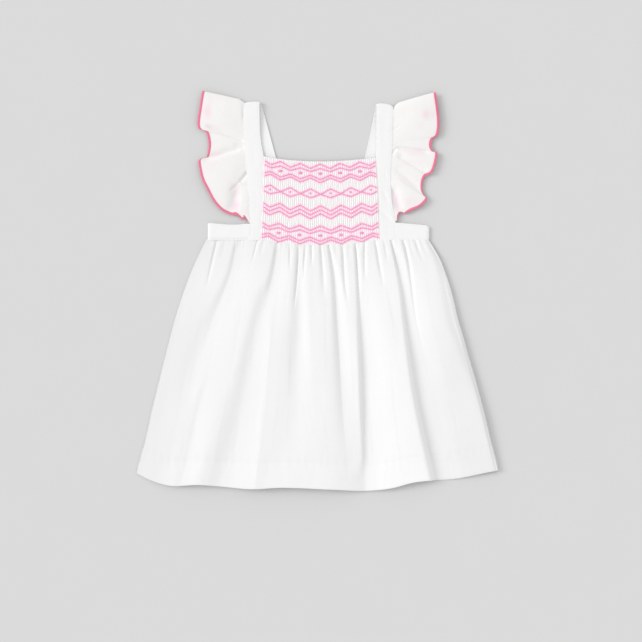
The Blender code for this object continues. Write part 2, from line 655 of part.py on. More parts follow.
# A sleeve is a strip gathered to the strap. Each row is a station round its free edge, from the
# front waist over the shoulder to the back waist: how far along the armhole seam it starts (up, in
# Y), its free edge, and how much the cloth swells up between the two.
Flounce = namedtuple("Flounce", "seam_y edge_x edge_y edge_z swell")
SLEEVE_LEFT_FRONT = [
    Flounce(78.0, -78.2, 77.8, 3.8, 0.0),
    Flounce(84.0, -82.9, 84.1, 5.1, 0.3),
    Flounce(91.0, -86.2, 82.4, 4.6, 0.3),
    Flounce(101.0, -92.2, 86.4, 5.7, 0.6),
    Flounce(114.0, -97.5, 86.4, 4.7, 0.2),
    Flounce(126.0, -103.5, 88.6, 4.6, 0.0),
    Flounce(133.0, -110.2, 92.8, 6.3, 0.6),
    Flounce(138.0, -118.3, 102.1, 7.5, 1.4),
    Flounce(143.0, -125.3, 114.9, 8.2, 1.9),
    Flounce(149.0, -131.2, 126.5, 8.4, 1.9),
    Flounce(155.0, -134.6, 140.4, 8.0, 1.4),
    Flounce(158.5, -135.4, 147.0, 7.2, 0.8),
    Flounce(160.0, -133.8, 149.6, 5.9, 0.4),
    Flounce(161.5, -130.0, 148.8, 4.7, 0.0),
    Flounce(163.0, -127.1, 150.9, 4.0, 0.0),
    Flounce(165.0, -124.8, 156.8, 3.6, 0.0),
    Flounce(167.0, -123.8, 166.1, 3.6, 0.0),
    Flounce(169.0, -124.8, 174.4, 3.8, 0.0),
    Flounce(170.5, -127.1, 181.3, 4.2, 0.0),
    Flounce(172.0, -130.5, 184.7, 5.1, 0.2),
    Flounce(174.0, -134.6, 184.6, 6.8, 0.6),
    Flounce(177.0, -136.4, 187.8, 7.9, 1.1),
    Flounce(184.0, -136.2, 195.6, 8.5, 1.6),
    Flounce(194.0, -134.2, 208.0, 8.4, 1.8),
    Flounce(204.0, -132.9, 217.3, 7.5, 1.4),
]
SLEEVE_RIGHT_FRONT = [
    Flounce(79.5, 90.6, 80.4, 3.8, 0.0),
    Flounce(83.0, 91.2, 85.3, 4.8, 0.2),
    Flounce(87.0, 92.8, 88.1, 5.1, 0.2),
    Flounce(92.0, 96.4, 89.2, 4.7, 0.2),
    Flounce(98.0, 100.6, 88.4, 4.4, 0.0),
    Flounce(107.0, 107.5, 91.7, 5.8, 0.6),
    Flounce(116.0, 115.7, 95.1, 7.2, 1.3),
    Flounce(124.0, 121.5, 99.8, 7.7, 1.4),
    Flounce(131.0, 124.7, 104.6, 7.1, 1.0),
    Flounce(136.0, 121.8, 108.4, 5.3, 0.3),
    Flounce(139.5, 119.1, 114.9, 4.3, 0.0),
    Flounce(143.0, 119.8, 124.3, 4.2, 0.0),
    Flounce(146.5, 122.4, 130.0, 4.7, 0.0),
    Flounce(149.0, 126.4, 132.4, 6.2, 0.4),
    Flounce(151.0, 130.2, 134.2, 7.4, 1.0),
    Flounce(153.0, 133.4, 141.4, 8.0, 1.4),
    Flounce(155.5, 136.0, 152.1, 8.0, 1.3),
    Flounce(157.5, 136.0, 157.4, 6.7, 0.6),
    Flounce(159.0, 132.4, 158.4, 5.2, 0.2),
    Flounce(161.0, 129.5, 163.8, 4.4, 0.0),
    Flounce(163.5, 130.2, 170.8, 4.6, 0.0),
    Flounce(166.0, 132.8, 174.6, 5.6, 0.2),
    Flounce(169.0, 136.6, 176.9, 7.3, 0.7),
    Flounce(175.0, 138.4, 184.7, 8.3, 1.4),
    Flounce(186.0, 138.4, 196.3, 8.8, 1.8),
    Flounce(197.0, 136.9, 210.5, 8.4, 1.8),
    Flounce(205.0, 135.6, 219.0, 7.4, 1.3),
]
SLEEVE_LEFT_BACK = [
    Flounce(207.0, -128.6, 214.0, 0.9, 0.0),
    Flounce(190.0, -124.0, 190.0, 0.9, 0.0),
    Flounce(168.0, -117.0, 164.0, 0.9, 0.0),
    Flounce(144.0, -108.0, 136.0, 0.9, 0.0),
    Flounce(118.0, -94.0, 108.0, 0.9, 0.0),
    Flounce(96.0, -74.0, 88.0, 0.9, 0.0),
    Flounce(82.0, -54.0, 79.0, 0.9, 0.0),
]
SLEEVE_RIGHT_BACK = [
    Flounce(205.0, 131.0, 212.0, 0.9, 0.0),
    Flounce(190.0, 126.0, 190.0, 0.9, 0.0),
    Flounce(168.0, 118.0, 164.0, 0.9, 0.0),
    Flounce(144.0, 108.0, 136.0, 0.9, 0.0),
    Flounce(118.0, 96.0, 108.0, 0.9, 0.0),
    Flounce(96.0, 80.0, 88.0, 0.9, 0.0),
    Flounce(82.0, 62.0, 79.0, 0.9, 0.0),
]
# The fold of a sleeve over the shoulder: where it leaves the seam, its free edge's corner, and how
# far it bulges up beside the strap
Corner = namedtuple("Corner", "seam_y edge_x edge_y edge_z swell bulge")
SLEEVE_LEFT_CORNER = Corner(214.9, -130.5, 227.0, 4.4, 0.3, 2.2)
SLEEVE_RIGHT_CORNER = Corner(209.0, 134.3, 225.4, 4.4, 0.3, 3.8)
SLEEVE_TURN_Z = 2.6
BULGE_REACH = 0.9  # of a bulge to either side of the fold, in stations
BULGE_PEAK = 0.15  # where a bulge is highest, as a share of the way out
SLEEVE_BACK_Z = 0.9  # the back half lies a little off the table, where its gathers lift it
SLEEVE_COLUMNS = 6
SLEEVE_STEPS = 2


def sleeve_section(seam, edge, swell, bulge):
    """One line of cloth from the armhole seam out to the free edge."""
    line = []
    for k in range(SLEEVE_COLUMNS + 1):
        out = k / SLEEVE_COLUMNS
        point = seam.lerp(edge, out)
        point.y += bulge * smooth_step(0.0, BULGE_PEAK, out) * (1.0 - out) ** 0.6
        point.z = seam.z + (edge.z - seam.z) * out**1.4 + swell * math.sin(math.pi * out)
        line.append(point)
    return line


def make_sleeve(name, side, front, corner, back, straps, shoulder):
    """A flutter sleeve: the front half, the fold over the shoulder and the back half under it."""
    outer = 0 if side < 0 else 1  # the strap's edge that carries the sleeve
    clear = side * (SEAM + 0.35)
    front_strap, back_strap = straps
    seams, edges, swells = [], [], []
    for row in front:
        x = read(front_strap, row.seam_y)[outer] + clear
        seams.append(Vector((x, row.seam_y, front_strap_z(row.seam_y, shoulder))))
        edges.append(Vector((row.edge_x, row.edge_y, row.edge_z)))
        swells.append(row.swell)
    x = read(front_strap, shoulder.y)[outer] + clear
    seams.append(Vector((x, corner.seam_y, SLEEVE_TURN_Z)))
    edges.append(Vector((corner.edge_x, corner.edge_y, corner.edge_z)))
    swells.append(corner.swell)
    for row in back:
        x = read(back_strap, row.seam_y)[outer] + clear
        seams.append(Vector((x, row.seam_y, SLEEVE_BACK_Z)))
        edges.append(Vector((row.edge_x, row.edge_y, row.edge_z)))
        swells.append(row.swell)
    seam_line = line_through(seams, SLEEVE_STEPS)
    edge_line = line_through(edges, SLEEVE_STEPS)
    swell_line = line_through([Vector((swell, 0.0, 0.0)) for swell in swells], SLEEVE_STEPS)
    sections = []
    for k, (seam, edge, swell) in enumerate(zip(seam_line, edge_line, swell_line)):
        bulge = corner.bulge * bell(k / SLEEVE_STEPS - len(front), BULGE_REACH)
        sections.append(sleeve_section(seam, edge, swell.x, bulge))
    return sheet(name, sections, CLOTH, VOILE)


# ---------------------------------------------------------------- the dress


def main():
    """Builds the dress in an empty scene."""
    for made in list(bpy.data.objects):
        bpy.data.objects.remove(made)
    make_skirt_back()
    make_skirt_front()
    make_waistband()
    make_smocked_panel()
    make_front_strap("strap_front_left", FRONT_STRAP_LEFT, LEFT_SHOULDER)
    make_front_strap("strap_front_right", FRONT_STRAP_RIGHT, RIGHT_SHOULDER)
    make_back_strap("strap_back_left", BACK_STRAP_LEFT, FRONT_STRAP_LEFT, LEFT_SHOULDER)
    make_back_strap("strap_back_right", BACK_STRAP_RIGHT, FRONT_STRAP_RIGHT, RIGHT_SHOULDER)
    make_sleeve(
        "sleeve_left",
        -1,
        SLEEVE_LEFT_FRONT,
        SLEEVE_LEFT_CORNER,
        SLEEVE_LEFT_BACK,
        (FRONT_STRAP_LEFT, BACK_STRAP_LEFT),
        LEFT_SHOULDER,
    )
    make_sleeve(
        "sleeve_right",
        1,
        SLEEVE_RIGHT_FRONT,
        SLEEVE_RIGHT_CORNER,
        SLEEVE_RIGHT_BACK,
        (FRONT_STRAP_RIGHT, BACK_STRAP_RIGHT),
        RIGHT_SHOULDER,
    )


main()
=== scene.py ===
"""A toddler's white cotton dress, laid flat: smocked front, flutter sleeves and a gathered skirt.

Every size is in millimetres and on_object() turns a finished shape into metres. X runs across the
dress, +Y points to the neck and +Z up from the table. Left is -X, the left-hand side as the front
is seen. Each piece of cloth is a grid laid along its cut, moved onto its form and given a wall.
"""

from __future__ import annotations

import logging
import math
from dataclasses import dataclass, field
from enum import Enum
from functools import cache
from typing import Callable, NamedTuple, Sequence

import bmesh
import bpy
import numpy as np
from bpy.types import Material, Mesh, Node, NodeSocket, NodeTree, Object
from mathutils import Matrix, Vector

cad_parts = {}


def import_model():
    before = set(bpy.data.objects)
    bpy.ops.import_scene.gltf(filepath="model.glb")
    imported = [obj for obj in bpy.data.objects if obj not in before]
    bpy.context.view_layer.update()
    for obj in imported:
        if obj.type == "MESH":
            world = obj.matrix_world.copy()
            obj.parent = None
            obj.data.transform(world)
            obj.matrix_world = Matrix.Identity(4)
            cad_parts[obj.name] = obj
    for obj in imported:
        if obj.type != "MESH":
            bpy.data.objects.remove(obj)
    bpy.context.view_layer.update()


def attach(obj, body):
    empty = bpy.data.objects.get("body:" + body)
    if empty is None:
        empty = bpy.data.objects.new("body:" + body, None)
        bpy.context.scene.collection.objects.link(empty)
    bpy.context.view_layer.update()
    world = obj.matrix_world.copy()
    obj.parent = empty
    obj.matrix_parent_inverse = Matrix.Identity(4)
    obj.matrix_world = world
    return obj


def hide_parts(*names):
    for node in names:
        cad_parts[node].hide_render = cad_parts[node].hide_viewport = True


LOG = logging.getLogger("dress")
MM = 0.001
Array = np.ndarray
Place = Callable[[Array, Array], Array]
Marks = Callable[[Array, Array], Array]

# Lines of the dress that several pieces meet at
WAIST_Y = 58.0  # the seam between waistband and skirt
BAND_TOP_Y = 76.4  # the waistband's upper edge at the back
STRAP_END_Y = 215.5  # the fold over the shoulder, about
NECK_Y = 147.3  # the neck edge at the middle


class Side(Enum):
    """A side of the dress as the front is seen. The value is the sign of its X."""

    LEFT = -1
    RIGHT = 1

    @property
    def label(self) -> str:
        """The word used in piece names."""
        return self.name.lower()


class FoldForm(Enum):
    """How a fold lies: a soft trough, a pleat's edge over lower cloth, or a slope up to a crest."""

    SOFT = "soft"
    STEP = "step"
    CREST = "crest"


SOFT, STEP, CREST = FoldForm

# ---------------------------------------------------------------- curves


def smooth_step(low: float, high: float, value: Array | float) -> Array:
    """Rises smoothly from 0 to 1.

    Args:
        low: where the rise starts.
        high: where it ends.
        value: where to read it.

    Returns:
        0 below low, 1 above high and a smooth rise between.
    """
    share = np.clip((np.asarray(value, float) - low) / (high - low), 0.0, 1.0)
    return share * share * (3.0 - 2.0 * share)


def bell(distance: Array, width: Array | float, power: float = 2.0) -> Array:
    """A hump of height 1 that dies away over width; more power makes it squarer."""
    return np.exp(-(np.abs(distance / width) ** power))


def read(table: Sequence[Sequence[float]], at: Array | float) -> Array:
    """Reads a table of rows as one smooth curve.

    Args:
        table: rows whose first column rises.
        at: values of the first column to read at.

    Returns:
        The other columns there, one row for each value, or a flat array for a single column.
    """
    rows = np.array([tuple(row) for row in table], float)
    keys, values = rows[:, 0], rows[:, 1:]
    at = np.clip(np.atleast_1d(np.asarray(at, float)), keys[0], keys[-1])
    start = np.clip(np.searchsorted(keys, at, side="right") - 1, 0, len(keys) - 2)
    end = start + 1
    before, after = np.maximum(start - 1, 0), np.minimum(end + 1, len(keys) - 1)
    width = keys[end] - keys[start]
    share = ((at - keys[start]) / width)[:, None]
    slope_in = (values[end] - values[before]) * (width / (keys[end] - keys[before]))[:, None]
    slope_out = (values[after] - values[start]) * (width / (keys[after] - keys[start]))[:, None]
    square, cube = share**2, share**3
    result = (
        values[start] * (2 * cube - 3 * square + 1)
        + slope_in * (cube - 2 * square + share)
        + values[end] * (3 * square - 2 * cube)
        + slope_out * (cube - square)
    )
    return result[:, 0] if result.shape[1] == 1 else result


# For each wave of a ripple: how much closer it is than the usual one, and its direction
RIPPLE_WAVES = ((1.0, 0.3), (0.61, 1.9), (1.63, 2.6), (0.43, 1.1))
RIPPLE_PEAK = 2.2  # what the waves add up to where they meet


def ripple(x: Array, y: Array, pitch: float, seed: float) -> Array:
    """Soft uneven waves over a surface, between about -1 and 1.

    Args:
        x: place across, in mm.
        y: place along, in mm.
        pitch: the usual distance between two waves, in mm.
        seed: shifts the waves, so that two surfaces differ.

    Returns:
        The wave's height at each place.
    """
    turn = 2 * math.pi / pitch
    waves = 0.0
    for number, (closeness, angle) in enumerate(RIPPLE_WAVES):
        along = x * math.cos(angle + seed) + y * math.sin(angle + seed)
        shift = seed * (number + 1) * 2.7
        waves = waves + np.sin(turn * closeness * along + shift) / (1.2 + number * 0.5)
    return waves / RIPPLE_PEAK


# ---------------------------------------------------------------- meshes


def on_object(name: str, mesh: bmesh.types.BMesh, material: Material) -> Object:
    """Scales a mesh from millimetres to metres and puts it on an object in the scene.

    Args:
        name: the piece's name.
        mesh: the finished bmesh, which is freed.
        material: its material.

    Returns:
        The new object, at the origin.
    """
    bmesh.ops.scale(mesh, vec=(MM, MM, MM), verts=mesh.verts)
    for face in mesh.faces:
        face.smooth = True
    for edge in mesh.edges:
        edge.smooth = not edge.is_boundary
    data = bpy.data.meshes.new(name)
    mesh.to_mesh(data)
    mesh.free()
    data.materials.append(material)
    made = bpy.data.objects.new(name, data)
    bpy.context.scene.collection.objects.link(made)
    return made


def cloth_grid(
    name: str,
    squares: tuple[int, int],
    place: Place,
    cut: tuple[float, float],
    wall: float,
    material: Material,
    marks: Marks,
) -> Object:
    """Makes a piece of cloth from a flat grid that is moved onto its form.

    Args:
        name: the piece's name.
        squares: how many squares it has across and along.
        place: gives the points, in mm, for shares across and along.
        cut: the cloth's width and length, in mm, which scale its weave.
        wall: the cloth's thickness in mm, half on each side of the points.
        material: the cloth's material.
        marks: gives a value from 0 to 1 that the material reads as the attribute "mark": the share of its
            shade-and-tint colour.

    Returns:
        The finished object, with a live Solidify.
    """
    mesh = bmesh.new()
    bmesh.ops.create_grid(mesh, x_segments=squares[0], y_segments=squares[1], size=0.5)
    mesh.verts.ensure_lookup_table()
    flat = np.array([vertex.co[:2] for vertex in mesh.verts]) + 0.5
    across, along = flat[:, 0], flat[:, 1]
    for vertex, point in zip(mesh.verts, place(across, along)):
        vertex.co = point
    bmesh.ops.recalc_face_normals(mesh, faces=mesh.faces)
    made = on_object(name, mesh, material)
    data = made.data
    loops = np.empty(len(data.loops), int)
    data.loops.foreach_get("vertex_index", loops)
    layer = data.uv_layers.new(name="cut")
    laid = flat[loops] * np.array(cut) * MM
    layer.uv.foreach_set("vector", laid.ravel())
    mark = data.attributes.new("mark", "FLOAT", "POINT")
    mark.data.foreach_set("value", marks(across, along).astype(np.float32))
    solidify = made.modifiers.new("wall", "SOLIDIFY")
    solidify.thickness = wall * MM
    solidify.offset = 0.0
    return made


def stitch_form() -> Mesh:
    """A rounded rod along X from -1 to 1, which every stitch is a copy of.

    Returns:
        The mesh.
    """
    rod = bmesh.new()
    bmesh.ops.create_uvsphere(rod, u_segments=6, v_segments=5, radius=1.0)
    bmesh.ops.rotate(rod, cent=(0, 0, 0), matrix=Matrix.Rotation(math.pi / 2, 3, "Y"), verts=rod.verts)
    form = bpy.data.meshes.new("stitch_form")
    rod.to_mesh(form)
    rod.free()
    return form


FLATTENED = 0.8  # how high a sewn thread is for its width


class Stitch(NamedTuple):
    """One stitch: its middle, its direction, its length and its thickness, in mm."""

    at: Vector
    along: Vector
    length: float
    radius: float


def stitches_object(name: str, stitches: Sequence[Stitch], material: Material) -> Object:
    """Joins copies of one stitch into a single mesh.

    Args:
        name: the piece's name.
        stitches: where they go.
        material: the thread's material.

    Returns:
        The finished object.
    """
    form = stitch_form()
    joined = bmesh.new()
    for stitch in stitches:
        start = len(joined.verts)
        joined.from_mesh(form)
        joined.verts.ensure_lookup_table()
        turn = Vector((1, 0, 0)).rotation_difference(stitch.along.normalized()).to_matrix().to_4x4()
        size = Matrix.Diagonal((stitch.length / 2, stitch.radius, stitch.radius * FLATTENED, 1.0))
        placed = Matrix.Translation(stitch.at) @ turn @ size
        bmesh.ops.transform(joined, matrix=placed, verts=joined.verts[start:])
    bpy.data.meshes.remove(form)
    return on_object(name, joined, material)


# ---------------------------------------------------------------- shared surface effects


def set_inputs(node: Node, values: dict[str, float]) -> None:
    """Sets a node's own sockets to constant values."""
    for name, value in values.items():
        node.inputs[name].default_value = value


def new_group(
    name: str, inputs: dict[str, float], outputs: Sequence[str]
) -> tuple[NodeTree, Node, Node]:
    """Starts a node group.

    Args:
        name: the group's name.
        inputs: its number inputs with their defaults.
        outputs: its number outputs.

    Returns:
        The group, its input node and its output node.
    """
    group = bpy.data.node_groups.new(name, "ShaderNodeTree")
    for label, value in inputs.items():
        socket = group.interface.new_socket(label, in_out="INPUT", socket_type="NodeSocketFloat")
        socket.default_value = value
    for label in outputs:
        group.interface.new_socket(label, in_out="OUTPUT", socket_type="NodeSocketFloat")
    return group, group.nodes.new("NodeGroupInput"), group.nodes.new("NodeGroupOutput")


def math_node(tree: NodeTree, operation: str, first: object, second: object = 0.0) -> NodeSocket:
    """Adds a Math node.

    Args:
        tree: where to.
        operation: what it does.
        first: a socket or a number.
        second: another.

    Returns:
        Its output.
    """
    node = tree.nodes.new("ShaderNodeMath")
    node.operation = operation
    for socket, value in zip(node.inputs, (first, second)):
        if isinstance(value, NodeSocket):
            tree.links.new(value, socket)
        else:
            socket.default_value = float(value)
    return node.outputs[0]


def split_place(tree: NodeTree, place: NodeSocket) -> Sequence[NodeSocket]:
    """Adds a Separate XYZ node fed by a place and returns its outputs."""
    split = tree.nodes.new("ShaderNodeSeparateXYZ")
    tree.links.new(place, split.inputs[0])
    return split.outputs


def cut_place(tree: NodeTree) -> NodeSocket:
    """Adds the place on the cloth's own cut, in metres."""
    place = tree.nodes.new("ShaderNodeUVMap")
    place.uv_map = "cut"
    return place.outputs[0]


def noise(
    tree: NodeTree, place: NodeSocket, scale: float, detail: float = 2.0, distortion: float = 0.0
) -> NodeSocket:
    """Adds a Noise Texture node.

    Args:
        tree: where to.
        place: where the noise is read.
        scale: how fine it is.
        detail: how many finer noises lie over it.
        distortion: how much it is bent.

    Returns:
        Its value.
    """
    node = tree.nodes.new("ShaderNodeTexNoise")
    set_inputs(node, {"Scale": scale, "Detail": detail, "Distortion": distortion})
    tree.links.new(place, node.inputs["Vector"])
    return node.outputs["Fac"]


@cache
def weave_group() -> NodeTree:
    """A plain weave over and under along the cloth's own cut, built once.

    Returns:
        The group: Pitch in metres and Unevenness in; Height and Shade out.
    """
    inputs = {"Pitch": 0.0004, "Unevenness": 0.25}
    group, start, end = new_group("plain_weave", inputs, ("Height", "Shade"))
    place = cut_place(group)
    across, along, _ = split_place(group, place)
    slub = noise(group, place, 900.0)
    turn = math_node(group, "DIVIDE", math.pi, start.outputs["Pitch"])
    warp = math_node(group, "SINE", math_node(group, "MULTIPLY", across, turn))
    weft = math_node(group, "SINE", math_node(group, "MULTIPLY", along, turn))
    over = math_node(group, "ABSOLUTE", math_node(group, "MULTIPLY", warp, weft))
    uneven = math_node(group, "MULTIPLY", slub, start.outputs["Unevenness"])
    group.links.new(math_node(group, "ADD", over, uneven), end.inputs["Height"])
    group.links.new(math_node(group, "SUBTRACT", slub, 0.5), end.inputs["Shade"])
    return group


@cache
def crease_group() -> NodeTree:
    """Faint creases and a soft unevenness, as cotton keeps after pressing, built once.

    Returns:
        The group: Size of the creases in metres and Stretch along them in; Height out.
    """
    group, start, end = new_group("pressed_creases", {"Size": 0.03, "Stretch": 3.0}, ("Height",))
    across, along, _ = split_place(group, cut_place(group))
    long = math_node(group, "MULTIPLY", start.outputs["Size"], start.outputs["Stretch"])
    join = group.nodes.new("ShaderNodeCombineXYZ")
    group.links.new(math_node(group, "DIVIDE", across, start.outputs["Size"]), join.inputs[0])
    group.links.new(math_node(group, "DIVIDE", along, long), join.inputs[1])
    broad = noise(group, join.outputs[0], 1.0, 2.0, 0.6)
    small = math_node(group, "MULTIPLY", noise(group, join.outputs[0], 5.0, 1.0), 0.18)
    group.links.new(math_node(group, "ADD", broad, small), end.inputs["Height"])
    return group


@cache
def twist_group() -> NodeTree:
    """The slanting ridges of a spun thread, built once.

    Returns:
        The group: Pitch in metres in; Height out.
    """
    group, start, end = new_group("thread_twist", {"Pitch": 0.0005}, ("Height",))
    place = group.nodes.new("ShaderNodeTexCoord")
    across, along, _ = split_place(group, place.outputs["Object"])
    turn = math_node(group, "DIVIDE", 2 * math.pi, start.outputs["Pitch"])
    slant = math_node(group, "ADD", across, math_node(group, "MULTIPLY", along, 0.7))
    ridges = math_node(group, "SINE", math_node(group, "MULTIPLY", slant, turn))
    group.links.new(ridges, end.inputs["Height"])
    return group


def new_material(name: str, values: dict[str, float]) -> tuple[Material, NodeTree, Node]:
    """Makes a node material.

    Args:
        name: its name.
        values: constants for the sockets of its shader.

    Returns:
        The material, its tree and its Principled BSDF.
    """
    material = bpy.data.materials.new(name)
    material.use_nodes = True
    shader = material.node_tree.nodes["Principled BSDF"]
    set_inputs(shader, values)
    return material, material.node_tree, shader


def add_group(tree: NodeTree, group: NodeTree, values: dict[str, float]) -> Node:
    """Places a shared effect in a material.

    Args:
        tree: the material's.
        group: the effect.
        values: its inputs here.

    Returns:
        Its node.
    """
    node = tree.nodes.new("ShaderNodeGroup")
    node.node_tree = group
    set_inputs(node, values)
    return node


def add_bump(
    tree: NodeTree,
    height: NodeSocket,
    distance: float,
    strength: float,
    below: NodeSocket | None = None,
) -> NodeSocket:
    """Adds a Bump node.

    Args:
        tree: where to.
        height: the relief.
        distance: its depth in metres.
        strength: how strongly it shows.
        below: the normal that it goes over.

    Returns:
        Its normal.
    """
    bump = tree.nodes.new("ShaderNodeBump")
    set_inputs(bump, {"Distance": distance, "Strength": strength})
    tree.links.new(height, bump.inputs["Height"])
    if below is not None:
        tree.links.new(below, bump.inputs["Normal"])
    return bump.outputs["Normal"]


def mix_colours(
    tree: NodeTree,
    share: NodeSocket,
    first: Sequence[float],
    second: Sequence[float],
    target: NodeSocket,
) -> None:
    """Feeds a socket with a colour between two.

    Args:
        tree: where the Mix node goes.
        share: 0 for the first colour, 1 for the second.
        first: a linear colour.
        second: another.
        target: the socket.
    """
    mix = tree.nodes.new("ShaderNodeMix")
    mix.data_type = "RGBA"
    mix.inputs["A"].default_value = (*first, 1.0)
    mix.inputs["B"].default_value = (*second, 1.0)
    tree.links.new(share, mix.inputs["Factor"])
    tree.links.new(mix.outputs["Result"], target)


# ---------------------------------------------------------------- finishes


@dataclass(frozen=True)
class CottonFinish:
    """Plain-woven white cotton.

    Attributes:
        name: the material's name.
        colour: one layer's colour, linear.
        shade_and_tint_colour: the colour where the piece's mark is 1; grey painted shade on the plain
            cotton, pink on the others.
        roughness: of the threads.
        specular: how strongly the threads reflect.
        sheen: the soft glow of the fibres at a slant.
        sheen_roughness: how wide that glow spreads.
        slub: how much thick threads differ in colour.
        weave: the distance between two threads, in metres.
        weave_height: how high a thread stands, in metres.
        weave_depth: how strongly the weave shows.
        crease: the usual size of a pressed crease, in metres.
        crease_depth: how deep the creases are, in metres.
        cover: how much of what lies behind the cloth hides; 1 hides all.
    """

    name: str
    colour: tuple[float, float, float]
    shade_and_tint_colour: tuple[float, float, float]
    roughness: float = 0.86
    specular: float = 0.25
    sheen: float = 0.12
    sheen_roughness: float = 0.5
    slub: float = 0.05
    weave: float = 0.00045
    weave_height: float = 0.00006
    weave_depth: float = 0.5
    crease: float = 0.03
    crease_depth: float = 0.0006
    cover: float = 1.0

    def material(self) -> Material:
        """Builds the material: colour by mark (painted shade and tint) and slub, weave over creases as
        bump.

        Returns:
            The material.
        """
        values = {
            "Roughness": self.roughness,
            "Metallic": 0.0,
            "Specular IOR Level": self.specular,
            "Sheen Weight": self.sheen,
            "Sheen Roughness": self.sheen_roughness,
            "Alpha": self.cover,
        }
        material, tree, shader = new_material(self.name, values)
        weave = add_group(tree, weave_group(), {"Pitch": self.weave})
        crease = add_group(tree, crease_group(), {"Size": self.crease})
        mark = tree.nodes.new("ShaderNodeAttribute")
        mark.attribute_name = "mark"
        shade = math_node(tree, "MULTIPLY", weave.outputs["Shade"], self.slub)
        share = math_node(tree, "ADD", mark.outputs["Fac"], shade)
        # the mark brings in painted shade, painted reflected light and tint, as each piece sets it
        mix_colours(tree, share, self.colour, self.shade_and_tint_colour, shader.inputs["Base Color"])
        broad = add_bump(tree, crease.outputs["Height"], self.crease_depth, 1.0)
        fine = add_bump(tree, weave.outputs["Height"], self.weave_height, self.weave_depth, broad)
        tree.links.new(fine, shader.inputs["Normal"])
        return material


@dataclass(frozen=True)
class ThreadFinish:
    """Spun sewing thread.

    Attributes:
        name: the material's name.
        colour: the thread's colour, linear.
        groove_shade: its colour in the twist's grooves, a painted shade.
        roughness: of the fibres.
        sheen: their soft glow at a slant.
        twist: the distance between two turns of the twist, in metres.
        ridge: how high a turn stands, in metres.
        ridge_strength: how strongly it shows.
    """

    name: str
    colour: tuple[float, float, float]
    groove_shade: tuple[float, float, float]
    roughness: float = 0.6
    sheen: float = 0.15
    twist: float = 0.0006
    ridge: float = 0.0001
    ridge_strength: float = 0.4

    def material(self) -> Material:
        """Builds the material: ridged along the twist, with painted shade in its grooves.

        Returns:
            The material.
        """
        values = {"Roughness": self.roughness, "Metallic": 0.0, "Sheen Weight": self.sheen}
        material, tree, shader = new_material(self.name, values)
        twist = add_group(tree, twist_group(), {"Pitch": self.twist})
        share = math_node(tree, "MULTIPLY_ADD", twist.outputs["Height"], 0.5)
        share.node.inputs[2].default_value = 0.5
        # painted shade: the grooves of the twist get the darker colour
        mix_colours(tree, share, self.groove_shade, self.colour, shader.inputs["Base Color"])
        normal = add_bump(tree, twist.outputs["Height"], self.ridge, self.ridge_strength)
        tree.links.new(normal, shader.inputs["Normal"])
        return material


@dataclass(frozen=True)
class FloorFinish:
    """A plain matt studio floor.

    Attributes:
        name: the material's name.
        colour: its colour, linear.
        mottle: how much the colour varies.
        mottle_scale: how many patches a metre has.
        roughness: of the floor.
    """

    name: str = "studio_floor"
    colour: tuple[float, float, float] = (0.66, 0.66, 0.66)
    mottle: float = 0.005
    mottle_scale: float = 14.0
    roughness: float = 0.95

    def material(self) -> Material:
        """Builds the material, with a barely visible mottle.

        Returns:
            The material.
        """
        values = {"Roughness": self.roughness, "Specular IOR Level": 0.0}
        material, tree, shader = new_material(self.name, values)
        place = tree.nodes.new("ShaderNodeTexCoord")
        mottle = noise(tree, place.outputs["Object"], self.mottle_scale)
        darker = [part * (1.0 - self.mottle) for part in self.colour]
        lighter = [part * (1.0 + self.mottle) for part in self.colour]
        mix_colours(tree, mottle, darker, lighter, shader.inputs["Base Color"])
        return material


# ---------------------------------------------------------------- the cut and its folds


class Row(NamedTuple):
    """A point of a curve: the place it is read at, and its value there."""

    at: float
    value: float


FOLD_DOWNS = (0.0, 0.15, 0.36, 0.66, 1.0)


class Fold(NamedTuple):
    """A fold of the skirt's front: the X of its bottom at each of FOLD_DOWNS, then how it lies.

    Its sides reach left and right by so much at the waist and by the low ones at the hem. Its depths
    hold at its start, its middle and its end. A guide is a line that the cloth's grid follows.
    """

    waist_x: float
    upper_x: float
    third_x: float
    low_x: float
    hem_x: float
    left: float
    right: float
    low_left: float
    low_right: float
    first_depth: float
    depth: float
    last_depth: float
    start: float
    end: float
    form: FoldForm = SOFT
    guide: bool = False


class Ridge(NamedTuple):
    """A faint ridge of the skirt's back: its X at each of FOLD_DOWNS, its width, height and end."""

    waist_x: float
    upper_x: float
    third_x: float
    low_x: float
    hem_x: float
    width: float
    height: float
    end: float


class Crease(NamedTuple):
    """A soft trough: its ends, its reach to the left and the right of its line, and its depth."""

    x: float
    y: float
    end_x: float
    end_y: float
    left: float
    right: float
    depth: float


class Tint(NamedTuple):
    """A place on a sleeve's front drawn pinkish grey: the coloured edging behind showing faintly through
    the thin cloth, and painted shade where the cloth lies in shadow.
    """

    x: float
    y: float
    reach_x: float
    reach_y: float
    strength: float


class Gather(NamedTuple):
    """A short gather: its place along the seam, its depth, its half width and how far it runs."""

    at: float
    depth: float
    width: float
    length: float


class Shoulder(NamedTuple):
    """The fold of a strap over the shoulder: its Y, how it leans, and how its ends round off."""

    y: float
    lean: float
    round_off: float


class StrapRow(NamedTuple):
    """The X of a strap's two edges at a Y."""

    along: float
    left: float
    right: float


class FlounceRow(NamedTuple):
    """A line of a sleeve: where it leaves the armhole seam, its free edge, and its swell."""

    seam_y: float
    edge_x: float
    edge_y: float
    edge_z: float = 0.9
    swell: float = 0.0


# Half the skirt's width, by the share of the way down
SKIRT_WIDTH = (
    Row(0, 126), Row(0.05, 133), Row(0.15, 144.8), Row(0.26, 155.3), Row(0.4, 166.2), Row(0.58, 178.4),
    Row(0.71, 187), Row(0.85, 195.4), Row(1, 205.8),
)
